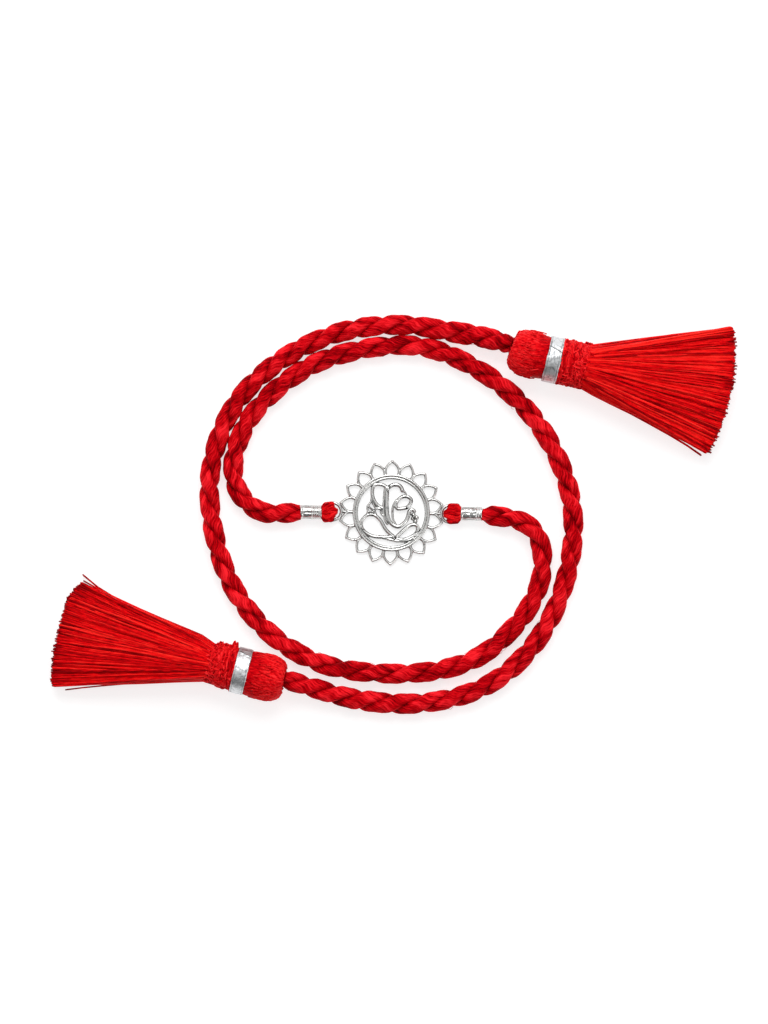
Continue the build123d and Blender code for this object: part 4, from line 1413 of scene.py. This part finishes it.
@dataclass
class Studio:
    """The pale floor, soft lights and camera above the bracelet, square to the floor as in the photograph."""

    frame_height: float = 204.8   # what the long side of the picture spans, in millimetres
    lens: float = 150.0
    sensor: float = 36.0
    centre: tuple[float, float] = (-1.46, 0.12)
    turn_degrees: float = 1.2
    card_glow: float = 0.71       # the card is lit through from behind, which keeps shadows faint
    card_size: float = 3.0        # half its width in metres
    card_drop: float = 0.00001    # how far it lies under the bracelet, in metres
    # name: way it comes from in degrees, height in degrees, distance, size in metres, brightness
    lamps: dict[str, tuple[float, float, float, float, float]] = field(default_factory=lambda: {
        "key": (94.0, 48.0, 0.9, 0.62, 4.9),
        "fill": (-40.0, 30.0, 0.9, 0.44, 2.9),
        "edge": (190.0, 36.0, 0.9, 0.34, 1.0),
    })

    def add_floor(self) -> None:
        """A wide matt white card under everything."""
        size, drop = self.card_size, -self.card_drop
        mesh = bpy.data.meshes.new("studio_floor")
        corners = [(-size, -size, drop), (size, -size, drop), (size, size, drop), (-size, size, drop)]
        mesh.from_pydata(corners, [], [(0, 1, 2, 3)])
        material, tree = new_material("matt_white_card")
        place = add_node(tree, "TexCoord").outputs["Object"]
        grain = add_node(tree, "TexNoise", {"Scale": 900.0, "Detail": 2.0}, {"Vector": place})
        colour = add_node(tree, "ValToRGB", {"stops": [(0.0, "a6a6a6"), (1.0, "acacac")]},
                          {"Fac": grain.outputs["Fac"]})
        shader = add_node(tree, "BsdfPrincipled", {
            "Roughness": 0.9, "Specular IOR Level": 0.1, "Emission Color": (1.0, 1.0, 1.0, 1.0),
            "Emission Strength": self.card_glow}, {"Base Color": colour.outputs["Color"]})
        add_node(tree, "OutputMaterial", links={"Surface": shader.outputs["BSDF"]})
        mesh.materials.append(material)
        floor = put_in_scene("studio_floor", mesh)

    def add_lights(self) -> None:
        """Square soft lamps round the object and a grey sky, darker low down and in front for the silver."""
        for name, (way, height, distance, size, bright) in self.lamps.items():
            lamp = bpy.data.lights.new(name, "AREA")
            lamp.shape, lamp.size = "SQUARE", size
            lamp.energy = bright * math.pi * size * size
            holder = put_in_scene(name, lamp)
            a, e = math.radians(way), math.radians(height)
            back = np.array([math.cos(a) * math.cos(e), math.sin(a) * math.cos(e), math.sin(e)])
            holder.location = back * distance
            holder.rotation_euler = (math.pi / 2.0 - e, 0.0, a + math.pi / 2.0)
            holder.visible_camera = False
        world = bpy.data.worlds.new("studio_sky")
        bpy.context.scene.world = world
        world.use_nodes = True
        tree = world.node_tree
        tree.nodes.clear()
        way = add_node(tree, "TexCoord").outputs["Generated"]
        parts = add_node(tree, "SeparateXYZ", links={"Vector": way}).outputs
        behind = add_node(tree, "Math", {"operation": "MULTIPLY_ADD", 1: 0.5, 2: 0.5}, {0: parts["Y"]})
        level = add_node(tree, "ValToRGB", {"stops": [(0.0, "767676"), (0.33, "969696"), (0.56, "ffffff")]},
                         {"Fac": behind.outputs[0]})
        tone = add_node(tree, "ValToRGB", {"stops": [
            (0.0, "f0f0f0"), (0.20, "e6e6e6"), (0.29, "767676"), (0.42, "767676"), (0.52, "e6e6e6"),
            (1.0, "e6e6e6")]}, {"Fac": parts["Z"]})
        light = add_node(tree, "Background", links={"Color": tone.outputs["Color"],
                                                    "Strength": level.outputs["Color"]})
        add_node(tree, "OutputWorld", links={"Surface": light.outputs["Background"]})

    def add_camera(self) -> None:
        """Looks straight down, so far off that the picture's long side spans the frame height."""
        camera = bpy.data.cameras.new("camera")
        camera.lens, camera.sensor_width = self.lens, self.sensor
        camera.clip_start, camera.clip_end = 0.01, 20.0
        holder = put_in_scene("camera", camera)
        distance = self.frame_height * self.lens / self.sensor
        holder.location = (self.centre[0] * MM, self.centre[1] * MM, (distance + CORD_AXIS) * MM)
        holder.rotation_euler = (0.0, 0.0, math.radians(self.turn_degrees))
        bpy.context.scene.camera = holder

    def build(self) -> None:
        """Floor, lights, camera and plain colour handling."""
        self.add_floor()
        self.add_lights()
        self.add_camera()
        bpy.context.scene.view_settings.view_transform = "Standard"


def main() -> None:
    """Builds the bracelet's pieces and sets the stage."""
    logging.basicConfig(level=logging.INFO, format="%(name)s: %(message)s")
    Studio().build()
    cord_silk = Silk("twisted_silk_cord", dark="6a0006", body="c0040e", light="ff2630", roughness=0.62,
                     gloss=0.08, gloss_tint="ff5048", sheen=0.03)
    thread_silk = Silk("tassel_silk_thread", dark="820208", body="e0060e", light="ff2e26", relief_mm=0.05,
                       roughness=0.42, gloss=0.20, gloss_tint="ff6a60")
    matted_silk = Silk("matted_silk_thread", filament_mm=0.20, body="d2060f", light="ff3032", relief_mm=0.08,
                       roughness=0.55)
    polished = Silver("polished_cast_silver")
    foil = Silver("crinkled_silver_foil", bright="e0e2e4", tarnish_and_shade="3a3a3c", roughness=0.40, cloud_mm=0.7,
                  relief_mm=0.03)
    Medallion().build(polished)
    left_ribs = [(0.25 + 0.42 * k, 0.17, 0.13) for k in range(5)] + [(4.02, 0.32, 0.13)]
    right_ribs = [(0.18, 0.22, 0.10), (2.95, 0.20, 0.10), (3.42, 0.20, 0.12), (4.05, 0.30, 0.13)]
    Sleeve(Side.LEFT, centre_y=-0.2, ribs=left_ribs, seam=(0.5, 4.1), seed=11).build(polished)
    Sleeve(Side.RIGHT, centre_y=0.15, ribs=right_ribs, seam=(0.3, 3.2), seed=12).build(polished)
    YarnLoop(Side.LEFT, centre_y=-0.2, nose=11.0, seed=3).build(matted_silk)
    YarnLoop(Side.RIGHT, centre_y=0.12, nose=10.7, seed=4).build(matted_silk)
    cords = [TwistedCord(Side.LEFT, LEFT_ROUTE, LEFT_TWIST, loosened=(180.0, 7.0, 0.09), seed=107),
             TwistedCord(Side.RIGHT, RIGHT_ROUTE, RIGHT_TWIST, loosened=(188.0, 7.0, 0.14), seed=207)]
    tassels = [
        Tassel(Side.LEFT, LEFT_ROUTE, axis_angle=167.2, axis_offset=0.5, skirt_length=31.5, skirt_width=21.8,
               drift=1.35, skirt_tone=-0.22, flare=0.85, end_slant=0.1, end_inset=0.6, corner=1.4,
               collar_radii=(4.45, 3.85), frays=[(178.0, 2.3, 1.3), (174.0, 5.0, 0.9), (186.0, 3.4, 0.5)],
               seam_angle=140.0, band_shift=0.0, band_edge_shadow=(0.0, 0.0), dimple=(-0.3, 0.2),
               strays=[(-10.9, 35.6, 0.6), (-9.75, 35.1, 1.6), (12.4, 33.4, 0.5)], seed=100),
        Tassel(Side.RIGHT, RIGHT_ROUTE, axis_angle=-12.0, axis_offset=-0.9, skirt_length=29.9, skirt_width=26.0,
               drift=1.6, skirt_tone=0.12, flare=0.25, end_slant=0.2, end_inset=0.25, corner=0.0,
               collar_radii=(4.62, 4.45), frays=[(4.0, 6.0, 0.6), (-14.0, 3.6, 0.35)],
               seam_angle=66.0, band_shift=-0.10, band_edge_shadow=(36.0, 92.0), dimple=(0.9, 0.2),
               strays=[(-11.8, 33.4, 0.5)], seed=200),
    ]
    for cord, tassel in zip(cords, tassels):
        piece = cord.build(cord_silk)
        cord.declare(piece, tassel.build(matted_silk, foil, thread_silk))


if __name__ == "__main__":
    main()
